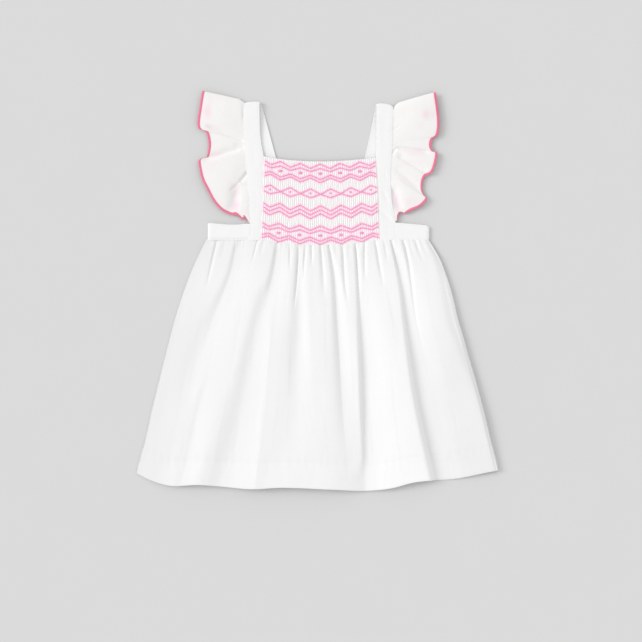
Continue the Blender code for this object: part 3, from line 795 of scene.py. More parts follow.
# How far its right side waves out from that
RIGHT_WAVE = (
    Row(0, 0), Row(0.05, 1.1), Row(0.09, 2), Row(0.14, 1.2), Row(0.2, 0.5), Row(0.26, -0.5),
    Row(0.35, -2.2), Row(0.43, -1.8), Row(0.51, -1.5), Row(0.59, -0.6), Row(0.69, 0), Row(0.81, 0.7),
    Row(1, 0),
)
# Y of the hem, from the left side, -1, to the right side, 1
HEM_LINE = (
    Row(-1, -207), Row(-0.93, -214.3), Row(-0.86, -219.2), Row(-0.79, -221.4), Row(-0.66, -219.9),
    Row(-0.54, -221.8), Row(-0.37, -224.6), Row(-0.19, -222.9), Row(0.1, -225.4), Row(0.24, -227),
    Row(0.33, -226.2), Row(0.42, -223.3), Row(0.52, -217.6), Row(0.6, -215.2), Row(0.74, -213.9),
    Row(0.83, -210.9), Row(0.94, -205.9), Row(1, -203.6),
)
# Height of the cloth between its folds, by the share of the way down
CROWN = (
    Row(0, 3.9), Row(0.05, 5.2), Row(0.1, 6.2), Row(0.18, 7.3), Row(0.32, 8.6), Row(0.55, 9.6),
    Row(0.85, 10.2), Row(1, 9.8),
)
# From the left to the right: the long pleats of the front, and the gathers between them
FRONT_FOLDS = (
    Fold(-114.5, -123.5, -136, -154.5, -171.5, 1.1, 0.9, 5, 4, 1.3, 1, 0, 0, 0.22, STEP, True),
    Fold(-104.5, -114.5, -130.5, -151, -168, 1.2, 1.4, 5, 5, 0.5, 0.4, 0, 0, 0.09),
    Fold(-92, -99.5, -122.5, -143, -161.5, 1.1, 13, 20, 70, 1.4, 2.2, 0.6, 0, 0.6, STEP, True),
    Fold(-90.5, -102, -126.5, -149, -170.5, 5, 3, 15, 17, 0, 1.2, 0.4, 0.24, 0.66, CREST),
    Fold(-87, -97.5, -112.5, -134, -156, 1.3, 5, 5, 16, 0, 0.9, 0.8, 0.27, 1.3, STEP, True),
    Fold(-80.5, -88.5, -101, -118, -131.5, 1.1, 1.4, 6, 6, 0.5, 0.4, 0, 0, 0.08),
    Fold(-68, -78, -89.5, -104.5, -126, 1.1, 0.9, 6, 4, 0.9, 0.8, 0, 0, 0.13, STEP, True),
    Fold(-62, -70, -79, -97.5, -119, 1.1, 1.4, 6, 6, 0.5, 0.5, 0, 0, 0.07),
    Fold(-46, -51.5, -69, -85, -102, 1.1, 9, 20, 34, 2, 2.6, 0, 0, 0.4, STEP, True),
    Fold(-48.5, -56, -69, -86, -109, 4, 4, 17, 38, 1.6, 3.2, 4.4, 0.15, 1.04, CREST),
    Fold(-40, -42, -49.5, -61, -71, 1, 0.9, 6, 4, 1.2, 0.8, 0, 0, 0.08, STEP, True),
    Fold(-31.5, -32, -38, -46, -58.5, 1.1, 0.9, 6, 4, 1.6, 1.1, 0, 0, 0.13, STEP, True),
    Fold(-21.5, -24, -28.5, -33.5, -37, 1.2, 1, 3, 5, 2.2, 3.2, 0, 0, 0.3, STEP, True),
    Fold(-21, -21, -21, -24, -28, 3, 3, 19, 19, 1, 2.6, 0, 0, 0.92),
    Fold(-14, -16, -17.5, -16.5, -19, 1.1, 0.9, 6, 4, 1.6, 1.3, 0, 0, 0.17, STEP, True),
    Fold(-6.5, -6.5, -7, -6.5, -6.5, 1.1, 0.9, 6, 4, 1.2, 0.9, 0, 0, 0.1, STEP, True),
    Fold(3.5, 7, 8, 8.5, 11, 1.4, 1.1, 12, 6, 1.9, 1.6, 0, 0, 0.23, STEP, True),
    Fold(12.5, 19, 23, 28.5, 37, 1.2, 1.2, 9, 30, 2.5, 3.8, 1.2, 0, 0.97, STEP, True),
    Fold(19.5, 25, 30, 36, 44, 1.1, 1.4, 6, 6, 0.5, 0.5, 0, 0, 0.08),
    Fold(28.5, 31, 37.5, 40.5, 46, 1.2, 1, 8, 6, 1.9, 1.8, 0, 0, 0.27, STEP, True),
    Fold(35, 36.5, 42.5, 45, 48.5, 1.1, 1.4, 6, 6, 0.5, 0.5, 0, 0, 0.07),
    Fold(43, 45.5, 48.5, 51.5, 54, 0.9, 1, 2.2, 7, 3, 2.6, 1.2, 0, 0.42, STEP, True),
    Fold(43.5, 46, 49, 52, 54.5, 1.5, 5, 3.4, 46, 0.4, 6.4, 4.6, 0.12, 1.02, STEP),
    Fold(44, 45, 48, 49.5, 50.5, 10, 8, 26, 34, 1, 4.2, 4.8, 0.64, 1.32),
    Fold(50.5, 52, 53.5, 55.5, 58, 2, 8, 3.2, 26, 0, 4, 6.4, 0.5, 1.12),
    Fold(53.5, 54, 57.5, 60, 64.5, 1.1, 0.9, 6, 4, 1.8, 1.4, 0, 0, 0.17, STEP, True),
    Fold(65.5, 73, 84, 87, 96.5, 1.3, 1, 7, 4, 2.4, 1.6, 0, 0, 0.2, STEP, True),
    Fold(75.5, 82, 90.5, 97.5, 107.5, 1, 0.9, 7, 4, 1.5, 1, 0, 0, 0.1, STEP),
    Fold(84, 93, 101, 113.5, 134.5, 1, 1.4, 3.4, 72, 1.4, 7.2, 8.8, 0, 1.03, STEP, True),
    Fold(83, 92, 99.5, 112.5, 133, 0.9, 0.9, 3, 4, 2.8, 3.2, 0, 0, 0.24),
    Fold(97.5, 105.5, 114, 131.5, 149, 1.1, 1.2, 10, 5, 2.4, 3.4, 1, 0, 0.56, STEP, True),
    Fold(103, 113.5, 122.5, 141, 158, 1.1, 1.4, 7, 7, 0.5, 0.4, 0, 0, 0.09),
    Fold(110, 122, 131.5, 151, 169.5, 1.2, 1.8, 7, 8, 0.9, 0.7, 0, 0, 0.1, STEP, True),
    Fold(116.5, 129.5, 141, 162.5, 179.5, 1.1, 1.4, 7, 7, 0.5, 0.4, 0, 0, 0.08),
    Fold(114.5, 119, 129.5, 145.5, 166, 6, 6, 16, 13, 0, 1.2, 0.9, 0.3, 1.1),
    Fold(126, 141, 157, 181.5, 199, 3, 30, 9, 44, 1.4, 1.8, 1.4, 0, 1.2, STEP, True),
    Fold(126, 141, 157, 181.5, 199, 1.2, 1.6, 3, 3, 0.5, 0.6, 0.2, 0, 0.85),
)
# What the gathers leave on the back, from the left to the right
BACK_RIDGES = (
    Ridge(-100, -108, -118, -136, -150, 4, 0.4, 0.55),
    Ridge(-72, -77.5, -84, -96, -106, 3, 0.4, 0.4),
    Ridge(-38, -40.5, -44, -52, -58, 4, 0.5, 0.7),
    Ridge(-8, -9, -10, -12, -14, 3, 0.4, 0.35),
    Ridge(24, 26, 29, 34, 38, 4, 0.5, 0.62),
    Ridge(58, 62.5, 68, 80, 90, 3, 0.4, 0.45),
    Ridge(92, 99, 108, 126, 140, 4, 0.4, 0.58),
)
# The straps' edges, from the waist up to the shoulder
FRONT_STRAPS = {
    Side.LEFT: (
        StrapRow(WAIST_Y, -78, -65), StrapRow(78, -76.6, -64), StrapRow(104, -77.6, -62.7),
        StrapRow(138, -80.6, -61.6), StrapRow(153, -82, -61.4), StrapRow(166, -82.8, -63.8),
        StrapRow(180, -83.2, -65.4), StrapRow(STRAP_END_Y, -83.2, -66.2),
    ),
    Side.RIGHT: (
        StrapRow(WAIST_Y, 70.9, 89), StrapRow(78, 70, 88.8), StrapRow(104, 69.2, 84.4),
        StrapRow(130, 67.8, 83.2), StrapRow(153, 66.6, 84.4), StrapRow(170, 67.1, 85.4),
        StrapRow(STRAP_END_Y, 67.4, 86),
    ),
}
# Y of the waistband's upper edge, by X
WAISTBAND_TOP = (
    Row(-124.5, 77.4), Row(-112, 76.2), Row(-101, 75.3), Row(-90, 75.4), Row(-80, 76.4), Row(87, 77.6),
    Row(97, 77), Row(112, 75.6), Row(124, 74.3), Row(127, 73.6),
)
BACK_STRAPS = {
    Side.LEFT: (
        StrapRow(BAND_TOP_Y, -45.5, -28.5), StrapRow(151.6, -64.6, -47.4),
        StrapRow(STRAP_END_Y, -83, -64.6),
    ),
    Side.RIGHT: (
        StrapRow(BAND_TOP_Y, 36.5, 53.5), StrapRow(151.6, 54, 71.2), StrapRow(STRAP_END_Y, 67.6, 85.8),
    ),
}
SHOULDERS = {Side.LEFT: Shoulder(215.4, 1.2, 0.9), Side.RIGHT: Shoulder(213.4, -2.2, 1.9)}
# Y of the neck edge, from the left strap, -1, to the right strap, 1
NECK_LINE = (
    Row(-1, 153.2), Row(-0.75, 150.6), Row(-0.5, 148.7), Row(0, NECK_Y), Row(0.5, 148.6), Row(0.8, 150.3),
    Row(1, 151.8),
)
# The front of the sleeves, from the waist up: each wave of the free edge takes several lines
SLEEVE_FRONTS = {
    Side.LEFT: (
        FlounceRow(78, -78.2, 77.8, 2.5), FlounceRow(84, -82.9, 84.1, 3.1, 0.3),
        FlounceRow(91, -86.2, 82.4, 2.8, 0.3), FlounceRow(101, -92.2, 86.4, 3.3, 0.6),
        FlounceRow(114, -97.5, 86.4, 2.9, 0.2), FlounceRow(126, -103.5, 88.6, 2.8),
        FlounceRow(133, -110.2, 92.8, 3.6, 0.6), FlounceRow(138, -118.3, 102.1, 4.2, 1.4),
        FlounceRow(143, -125.3, 114.9, 4.5, 1.9), FlounceRow(149, -131.2, 126.5, 4.6, 1.9),
        FlounceRow(155, -134.6, 140.4, 4.4, 1.4), FlounceRow(160.5, -135.4, 147, 4, 0.8),
        FlounceRow(163, -133.8, 149.6, 3.4, 0.4), FlounceRow(164, -130, 148.8, 2.9),
        FlounceRow(165, -127.1, 150.9, 2.6), FlounceRow(166, -124.8, 156.8, 2.4),
        FlounceRow(167, -123.8, 166.1, 2.4), FlounceRow(168, -124.8, 174.4, 2.5),
        FlounceRow(169, -127.1, 181.3, 2.7), FlounceRow(170.2, -130.5, 184.7, 3.1, 0.2),
        FlounceRow(171.6, -134.6, 184.6, 3.8, 0.6), FlounceRow(174.5, -136.4, 187.8, 4.3, 1.1),
        FlounceRow(184, -136.2, 195.6, 4.6, 1.6), FlounceRow(194, -134.2, 208, 4.6, 1.8),
        FlounceRow(204, -132.9, 217.3, 4.2, 1.4),
    ),
    Side.RIGHT: (
        FlounceRow(79.5, 90.6, 80.4, 2.8), FlounceRow(83, 91.2, 85.3, 3.3, 0.2),
        FlounceRow(87, 92.8, 88.1, 3.4, 0.2), FlounceRow(92, 96.4, 89.2, 3.2, 0.2),
        FlounceRow(98, 100.6, 88.4, 3.1), FlounceRow(107, 107.5, 91.7, 3.8, 0.6),
        FlounceRow(116, 115.7, 95.1, 4.5, 1.3), FlounceRow(124, 121.5, 99.8, 4.8, 1.4),
        FlounceRow(131, 124.7, 104.6, 4.4, 1), FlounceRow(136, 121.8, 108.4, 3.5, 0.3),
        FlounceRow(143.5, 119.1, 114.9, 3), FlounceRow(148, 119.8, 124.3, 3),
        FlounceRow(151.5, 122.4, 130, 3.2), FlounceRow(154, 126.4, 132.4, 4, 0.4),
        FlounceRow(155.8, 130.2, 134.2, 4.6, 1), FlounceRow(158, 133.4, 141.4, 4.9, 1.4),
        FlounceRow(160.8, 136, 152.1, 4.9, 1.3), FlounceRow(162.6, 136, 157.4, 4.2, 0.6),
        FlounceRow(163.8, 132.4, 158.4, 3.5, 0.2), FlounceRow(165.2, 129.5, 163.8, 3.1),
        FlounceRow(167, 130.2, 170.8, 3.2), FlounceRow(169, 132.8, 174.6, 3.7, 0.2),
        FlounceRow(172, 136.6, 176.9, 4.5, 0.7), FlounceRow(177.5, 138.4, 184.7, 5.1, 1.4),
        FlounceRow(186, 138.4, 196.3, 5.3, 1.8), FlounceRow(197, 136.9, 210.5, 5.1, 1.8),
        FlounceRow(205, 135.6, 219, 4.6, 1.3),
    ),
}
SLEEVE_CREASES = {
    Side.LEFT: (
        Crease(-127, 189, -81.5, 169.3, 2.4, 2.6, 2), Crease(-97, 165.8, -79.5, 164.2, 4.2, 4, 1.7),
        Crease(-130, 148.6, -86, 163, 4.6, 2.8, 1.8), Crease(-101, 112.8, -88.3, 124.3, 1.6, 3.4, 1.8),
        Crease(-90, 122.6, -77.5, 138.4, 1.6, 2.6, 1.8), Crease(-96.2, 90, -91, 124, 6, 5.2, 1.7),
        Crease(-84.2, 192.7, -84.9, 220, 1.2, 1.2, 1.1),
    ),
    Side.RIGHT: (
        Crease(83, 155, 91.6, 164.4, 1.2, 1.8, 1.2), Crease(88.6, 164, 128.1, 158.3, 1.5, 2.8, 1.9),
        Crease(89.8, 155, 127, 132.2, 4.4, 2.4, 2.1), Crease(88, 141, 117.8, 114.2, 3.4, 3.2, 0.8),
        Crease(94.4, 92, 85.5, 119.4, 5, 4.6, 2.2), Crease(87.2, 94.6, 98.6, 88.3, 1.2, 1.8, 1),
        Crease(84.9, 182.4, 94, 187.5, 1, 1.2, 0.5),
    ),
}
STRAP_CREASES = {
    Side.LEFT: (Crease(-76.6, 84, -70, 74, 1.4, 2, 0.22),),
    Side.RIGHT: (
        Crease(74.1, 116.3, 81.5, 99.2, 1.5, 2.4, 0.42), Crease(70, 93.4, 86.5, 78.9, 1.6, 2.8, 0.5),
        Crease(76, 140, 79.5, 124, 1.2, 2.2, 0.2),
    ),
}
# Where the edging behind shows through the front of the sleeves, and where painted shade darkens it
SLEEVE_TINTS_AND_SHADE = {
    Side.LEFT: (
        Tint(-125.4, 204.1, 5.1, 9.1, 0.8), Tint(-122.5, 217.7, 6.8, 6.8, 0.25),
        Tint(-115.7, 155.5, 8, 4, 0.45), Tint(-121.4, 142.5, 8, 9.1, 0.25),
        Tint(-92.8, 97, 4.2, 6.5, 1), Tint(-94, 112.9, 5.7, 10.3, 0.4),
        Tint(-120.3, 185.8, 6.8, 3.4, 0.3),
    ),
    Side.RIGHT: (
        Tint(123.7, 200.6, 4.6, 5.7, 0.85), Tint(131.7, 200.6, 3.4, 4.6, 0.5),
        Tint(118, 188.1, 5.7, 4.6, 0.2), Tint(114.6, 158.5, 12.5, 5.7, 0.4),
        Tint(107.7, 145.9, 13.7, 4.6, 0.3), Tint(88.9, 104.2, 4.6, 9.3, 0.62),
        Tint(91.8, 95.8, 6.8, 4.6, 0.5), Tint(104.3, 100.3, 10.3, 6.8, 0.4),
        Tint(99.7, 126.5, 9.1, 6.8, 0.15),
    ),
}
# The fold over the shoulder: where it leaves the seam, and its free edge's corner
SLEEVE_CORNERS = {
    Side.LEFT: FlounceRow(214.9, -130.5, 227, 4.4, 0.3),
    Side.RIGHT: FlounceRow(209, 134.3, 225.4, 4.4, 0.3),
}
SLEEVE_TOP_BULGES = {Side.LEFT: 2.2, Side.RIGHT: 3.8}
# Their back, which lies under the front, from the shoulder down
SLEEVE_BACKS = {
    Side.LEFT: (
        FlounceRow(207, -128.6, 214), FlounceRow(190, -124, 190), FlounceRow(168, -117, 164),
        FlounceRow(144, -108, 136), FlounceRow(118, -94, 108), FlounceRow(96, -74, 88),
        FlounceRow(82, -54, 79),
    ),
    Side.RIGHT: (
        FlounceRow(205, 131, 212), FlounceRow(190, 126, 190), FlounceRow(168, 118, 164),
        FlounceRow(144, 108, 136), FlounceRow(118, 96, 108), FlounceRow(96, 80, 88),
        FlounceRow(82, 62, 79),
    ),
}
# How finely the lines that stitches follow are drawn
BAND_SAMPLES = 120
EDGE_SAMPLES = 160
HEM_SAMPLES = 1600
RIM_SAMPLES = 6000
CREASE_FADE = 7.0  # how far in from its ends a crease is at its full depth
CREASE_PAST = 2.0  # how far past them it dies away
SCATTER = 0.38  # how far a gather strays from its even place, as a share of the pitch


def crease_depth(creases: Sequence[Crease], x: Array, y: Array) -> Array:
    """How far creases lower the cloth.

    Args:
        creases: the creases.
        x: X of the cloth's points, in mm.
        y: their Y.

    Returns:
        The depth at each point in mm, with the deeper one counting most where two meet.
    """
    total = np.zeros_like(x)
    for crease in creases:
        run_x, run_y = crease.end_x - crease.x, crease.end_y - crease.y
        length = math.hypot(run_x, run_y)
        fade = min(CREASE_FADE, length / 2)
        along = ((x - crease.x) * run_x + (y - crease.y) * run_y) / length
        beside = ((y - crease.y) * run_x - (x - crease.x) * run_y) / length
        ends = smooth_step(-CREASE_PAST, fade, along)
        ends = ends * (1.0 - smooth_step(length - fade, length + CREASE_PAST, along))
        reach = np.where(beside > 0, crease.left, crease.right)
        total += (crease.depth * ends * bell(beside, reach)) ** 3
    return total ** (1 / 3)


def line_x(fold: Fold | Ridge, down: Array) -> Array:
    """X of a fold's bottom, or of a ridge, at each share of the way down."""
    return read(tuple(zip(FOLD_DOWNS, fold[:len(FOLD_DOWNS)])), down)


def uneven_places(start: float, end: float, pitch: float, seed: int) -> Array:
    """Places whose spacing varies as hand gathers do.

    Args:
        start: where they begin.
        end: where they end.
        pitch: the usual spacing.
        seed: for the random draws.

    Returns:
        The places.
    """
    chance = np.random.default_rng(seed)
    count = int(abs(end - start) / pitch)
    places = (np.arange(count) + 0.5 + chance.uniform(-SCATTER, SCATTER, count)) / count
    return start + (end - start) * places


def sew_on(
    piece: Object,
    node: str,
    cut: tuple[float, float],
    with_pieces: Sequence[Object] = (),
    filled: float = 1.0,
) -> None:
    """Fixes a finished piece of cloth to the dress.

    Args:
        piece: the cloth.
        node: the solid that it stands for.
        cut: its flat width and length, in mm; not used.
        with_pieces: threads that go with it.
        filled: the share of that width and length that the cut fills; not used.
    """
    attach(piece, "root")
    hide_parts(node)
    for thread in with_pieces:
        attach(thread, "root")
    LOG.info("%s: %d faces", piece.name, len(piece.data.polygons))


# ---------------------------------------------------------------- threads


def row_of_stitches(
    points: Array, pitch: float, length: float, radius: float, lift: float
) -> list[Stitch]:
    """Sews evenly along a line.

    Args:
        points: the line, in mm, as closely spaced points.
        pitch: the distance from one stitch to the next.
        length: each stitch's length.
        radius: the thread's radius.
        lift: how far the stitches stand above the line.

    Returns:
        The stitches.
    """
    steps = np.linalg.norm(np.diff(points, axis=0), axis=1)
    run = np.concatenate(([0.0], np.cumsum(steps)))
    middles = np.arange(pitch / 2, run[-1], pitch)
    stitches = []
    for middle in middles:
        ends = [
            Vector([np.interp(middle + half, run, points[:, axis]) for axis in range(3)])
            for half in (-length / 2, length / 2)
        ]
        at = (ends[0] + ends[1]) / 2 + Vector((0, 0, lift))
        stitches.append(Stitch(at, ends[1] - ends[0], length, radius))
    return stitches


# ---------------------------------------------------------------- skirt


@dataclass
class SkirtShape:
    """The outline that the skirt's front and back share as they lie.

    Attributes:
        waist_y: the straight waist seam.
        dip: how far the seam's middle dips under the smocking.
        dip_half: half the width of that dip.
        dip_x: its middle.
        widths: the skirt's half width on the way down.
        right_wave: how far its right side waves out from that.
        hem: the hem's line.
    """

    waist_y: float = WAIST_Y
    dip: float = 6.0
    dip_half: float = 66.0
    dip_x: float = 3.0
    widths: tuple[Row, ...] = SKIRT_WIDTH
    right_wave: tuple[Row, ...] = RIGHT_WAVE
    hem: tuple[Row, ...] = HEM_LINE

    def half_width(self, down: Array) -> Array:
        """Half the skirt's width at each share of the way down."""
        return read(self.widths, down)

    def waist_seam(self, x: Array | float) -> Array:
        """Y of the waist seam, which dips under the smocked panel."""
        share = np.minimum(1.0, np.abs(np.asarray(x) - self.dip_x) / self.dip_half)
        return self.waist_y - self.dip * (1.0 - share**2)

    def level_y(self, x: Array, down: Array, top_y: Array | float, rise: float = 0.0) -> Array:
        """Y of places so far down between the skirt's top and its hem."""
        across = x / self.half_width(down)
        bottom = read(self.hem, across) + rise
        return top_y + (bottom - top_y) * down

    def rounding(self, x: Array, down: Array, left: float, right: float) -> Array:
        """How far in from the side seams the cloth is, as a share.

        Args:
            x: places across.
            down: shares down.
            left: how far in the left side's slow rise ends.
            right: how far in the right side's round one does.

        Returns:
            0 at the seams, 1 further in.
        """
        half = self.half_width(down)
        from_left = np.clip((half + x) / left, 0.0, 1.0)
        from_right = np.clip((half - x) / right, 0.0, 1.0)
        return smooth_step(-0.12, 1.0, from_left) * np.sqrt(1.0 - (1.0 - from_right) ** 2)

    def wave(self, x: Array, down: Array) -> Array:
        """How far the right side stands out from the usual width, at places across."""
        return read(self.right_wave, down) * smooth_step(0.6, 1.0, x / self.half_width(down))


@dataclass
class SkirtFront:
    """The gathered front of the skirt, from the waist seam to its turned-up hem.

    Attributes:
        shape: the skirt's outline.
        cloth: its material.
        thread: the material of the hem's stitches.
        folds: its troughs.
        least_columns: the fewest columns between two guides.
        rim_columns: the fewest beside the right side.
        most_columns: about how many there are.
        closeness: how much closer they stand at the guides.
        rows: from waist to hem.
        turn_rows: round the hem's edge.
        inner_rows: of the turned-up cloth.
        length: from the waist to the hem.
        cut: the cloth's flat width and length.
        waist_half: half the width of the waist seam.
        streak_width: its width as the long streaks count it.
        wall: the cloth's thickness.
        left_reach: how far in it rises at the left.
        right_reach: how far in it rounds over at the right.
        side_z: height of the side seams.
        hem_depth: how far the cloth is turned up.
        hem_gap: between the two layers of the hem.
        tuck: how far the cloth reaches under the waistband.
        seam_dip: how far the waist seam holds the cloth down.
        streak: how high the long streaks stand.
        uneven: how high the soft unevenness stands.
        groove: how deep the hem's stitches pull the cloth in.
        pucker: how high it puckers beside them.
        gather_pitch: between two small gathers at the waist.
        left_edge: the fold right of which the painted shade is lighter, counted from the left.
        right_edge: the fold past which the painted shade is darker.
        least_z: the lowest that a trough comes.
        shade_length: from the waist to the hem, as the shading counts it.
        even_tone: the level that the painted shade and light are added to.
    """

    shape: SkirtShape
    cloth: Material
    thread: Material
    folds: tuple[Fold, ...] = FRONT_FOLDS
    least_columns: int = 4
    rim_columns: int = 9
    most_columns: int = 360
    closeness: float = 0.6
    rows: int = 112
    turn_rows: int = 4
    inner_rows: int = 8
    length: float = 270.0
    cut: tuple[float, float] = (430.0, 300.0)
    waist_half: float = 126.0
    streak_width: float = 340.0
    wall: float = 0.42
    left_reach: float = 94.0
    right_reach: float = 5.0
    side_z: float = 1.5
    hem_depth: float = 28.0
    hem_gap: float = 0.8
    tuck: float = 1.2
    seam_dip: float = 0.5
    streak: float = 0.16
    uneven: float = 0.22
    groove: float = 0.12
    pucker: float = 0.07
    gather_pitch: float = 3.4
    left_edge: int = 22
    right_edge: int = 28
    least_z: float = 1.1
    shade_length: float = 280.0
    even_tone: float = 0.4
    knots: Array = field(init=False)
    columns: int = field(init=False)
    gathers: list[Gather] = field(init=False)

    def __post_init__(self) -> None:
        """Shares the columns out between the folds and places the small gathers."""
        lines = self.guide_lines(np.linspace(0.0, 1.0, 7))
        gaps = np.diff(lines, axis=1).mean(axis=0)
        counts = np.maximum(self.least_columns, np.round(gaps / gaps.sum() * self.most_columns))
        counts[-1] = max(counts[-1], self.rim_columns)
        self.columns = int(counts.sum())
        self.knots = np.concatenate(([0.0], np.cumsum(counts))) / self.columns
        chance = np.random.default_rng(11)
        self.gathers = []
        for x in uneven_places(-123.0, 123.0, self.gather_pitch, 5):
            under_smocking = abs(x - self.shape.dip_x) < self.shape.dip_half
            length = chance.uniform(0.025, 0.075) * (1.2 if under_smocking else 1.0)
            depth = chance.uniform(0.12, 0.42) * (1.4 if under_smocking else 1.5)
            across = float(np.interp(x, self.guide_lines(np.zeros(1))[0], self.knots))
            self.gathers.append(Gather(across, depth, chance.uniform(0.9, 1.5), length))

    @property
    def hem_down(self) -> float:
        """Share of the way down at which the hem is stitched."""
        return 1.0 - self.hem_depth / self.length

    def guide_lines(self, down: Array) -> Array:
        """X of the left side, of every guide and of the right side, a row for each down."""
        half = self.shape.half_width(down)
        guides = [line_x(fold, down) for fold in self.folds if fold.guide]
        return np.stack([-half, *guides, half], axis=1)

    def spread(self, lines: Array, across: Array | float) -> Array:
        """Finds places on lines that run with the folds.

        Args:
            lines: the guides' X, a row for each place.
            across: shares across the grid.

        Returns:
            X of the places.
        """
        start = np.clip(np.searchsorted(self.knots, across, side="right") - 1, 0, len(self.knots) - 2)
        share = (across - self.knots[start]) / (self.knots[start + 1] - self.knots[start])
        share = share - self.closeness * np.sin(2 * math.pi * share) / (2 * math.pi)
        row = np.arange(len(lines))
        return lines[row, start] + share * (lines[row, start + 1] - lines[row, start])

    def trough_depth(self, x: Array, down: Array) -> Array:
        """How far the folds lower the cloth.

        Args:
            x: places across.
            down: shares down.

        Returns:
            The depth at each.
        """
        total = np.zeros_like(x)
        for fold in self.folds:
            along = (down - fold.start) / (fold.end - fold.start)
            depths = ((0.0, fold.first_depth), (0.5, fold.depth), (1.0, fold.last_depth))
            depth = np.where((along >= 0) & (along <= 1), np.maximum(0.0, read(depths, along)), 0.0)
            if fold.start > 0.0:
                depth = depth * smooth_step(fold.start, fold.start + 0.08, down)
            beside = x - line_x(fold, down)
            left_reach = fold.left + (fold.low_left - fold.left) * down
            right_reach = fold.right + (fold.low_right - fold.right) * down
            slow = smooth_step(0.1, 0.45, down) if fold.form is STEP else 0.0
            if fold.start > 0.0 and fold.low_left < 4.0:
                left_reach = left_reach * (1.0 + 4.0 * smooth_step(0.86, 0.98, down))
            left = bell(beside, left_reach, 2.0 - 0.65 * slow)
            if fold.form is CREST:
                right = 1.0 - np.clip(beside / right_reach, 0.0, 1.0) ** 1.6
            else:
                right = bell(beside, right_reach + 0.5 * (1.0 - smooth_step(0.1, 0.3, down)))
            total += (depth * np.where(beside > 0, right, left)) ** 3
        return total ** (1 / 3)

    def small_gathers(self, x: Array, down: Array, lines: Array) -> Array:
        """How far the short gathers along the waist seam lower the cloth.

        Args:
            x: places across.
            down: shares down.
            lines: the guides' X there.

        Returns:
            The depth at each.
        """
        total = np.zeros_like(x)
        for gather in self.gathers:
            beside = x - self.spread(lines, np.full(len(x), gather.at))
            fade = 1.0 - smooth_step(0.2 * gather.length, gather.length, down)
            total += gather.depth * fade * bell(beside, gather.width * (1.0 + 5.0 * down))
        return total

    def crown(self, x: Array, down: Array) -> Array:
        """Height of the cloth between its folds, which falls to the right side.

        Args:
            x: places across.
            down: shares down.

        Returns:
            The height at each.
        """
        inward = self.shape.half_width(down) - x
        fall = 1.0 - smooth_step(0.0, 40.0, inward)
        drop = 1.1 * smooth_step(0.04, 0.3, down) - 1.2 * bell(down - 0.83, 0.12)
        return read(CROWN, down) - drop * fall

    def cloth_point(self, across: Array, down: Array) -> Array:
        """Finds points of the cloth's middle.

        Args:
            across: shares across.
            down: shares down.

        Returns:
            The points in mm.
        """
        lines = self.guide_lines(down)
        x = self.spread(lines, across)
        half = self.shape.half_width(down)
        top = self.shape.waist_seam(x / half * self.waist_half) + self.tuck
        y = self.shape.level_y(x, down, top)
        round_over = self.shape.rounding(x, down, self.left_reach, self.right_reach)
        held = 0.4 + 0.6 * smooth_step(0.0, 0.04, down)
        height = self.crown(x, down) - held * self.trough_depth(x, down) - self.least_z
        rise = self.least_z + (height + np.sqrt(height**2 + 0.4)) / 2 - self.side_z
        rise -= self.small_gathers(x, down, lines)
        settle = smooth_step(0.06, 0.3, down)
        streaks = ripple(across * self.streak_width, y * 0.22, 21.0, 0.8)
        rise += settle * (self.streak * streaks + self.uneven * ripple(x, y, 47.0, 2.3))
        rise -= self.groove * bell(down - self.hem_down, 0.0035)
        pucker = np.sin(x * 0.62 + 2.0 * np.sin(x * 0.07)) * bell(down - self.hem_down, 0.03)
        rise += self.pucker * pucker
        settled = self.crown(x, down) - self.side_z
        near_side = smooth_step(0.0, np.where(x > 0.0, 2.5, 10.0), half - np.abs(x))
        z = self.side_z + settled * round_over + (rise - settled) * near_side
        z -= self.seam_dip * (1.0 - smooth_step(0.0, 0.008, down))
        return np.stack((x + self.shape.wave(x, down), y, z), axis=1)

    def row_places(self) -> Array:
        """Places the outer rows, closer together at the waist and at the hem's stitches.

        Returns:
            Their shares down.
        """
        fine = np.linspace(0.0, 1.0, 2001)
        density = 1.0 + 1.3 * bell(fine, 0.07) + 1.6 * bell(fine - self.hem_down, 0.012)
        total = np.concatenate(([0.0], np.cumsum((density[1:] + density[:-1]) / 2)))
        return np.interp(np.linspace(0.0, total[-1], self.rows + 1), total, fine)

    def place(self, across: Array, along: Array) -> Array:
        """Points for the grid: the outer cloth, the turn at the hem and the cloth turned up.

        Args:
            across: shares across.
            along: shares along.

        Returns:
            The points in mm.
        """
        turned = np.arange(1, self.turn_rows + 1) / self.turn_rows
        turn_down = 1.0 + 0.0016 * np.sin(turned * math.pi)
        turn_drop = self.hem_gap * (1.0 - np.cos(turned * math.pi)) / 2
        inner = np.arange(1, self.inner_rows + 1) / self.inner_rows
        inner_down = 1.0 - inner * self.hem_depth / self.length
        downs = np.concatenate((self.row_places(), turn_down, inner_down))
        inner_drop = np.full(self.inner_rows, self.hem_gap)
        drops = np.concatenate((np.zeros(self.rows + 1), turn_drop, inner_drop))
        row = np.round(along * (len(downs) - 1)).astype(int)
        points = self.cloth_point(across, downs[row])
        points[:, 2] -= drops[row]
        return points

    def tone_and_painted_shade(self, across: Array, along: Array) -> Array:
        """Painted shade and light on the cloth: darker beside the seams, at the gathers, on the left and
        past the right_edge fold; lighter past the left_edge fold and on the hem.

        Args:
            across: shares across.
            along: shares along.

        Returns:
            0 to 1 at each point.
        """
        points = self.place(across, along)
        x = points[:, 0]
        down = np.clip((self.shape.waist_y - points[:, 1]) / self.shade_length, 0.0, 1.0)
        half = self.shape.half_width(down)
        # painted light: the cloth is drawn lighter right of the left_edge fold
        painted_light_middle = smooth_step(-8.0, 8.0, x - line_x(self.folds[self.left_edge], down))
        # painted shade: darker past the right_edge fold, lower down
        single = smooth_step(-1.0, 6.0, x - line_x(self.folds[self.right_edge], down))
        single *= smooth_step(0.25, 0.65, down)
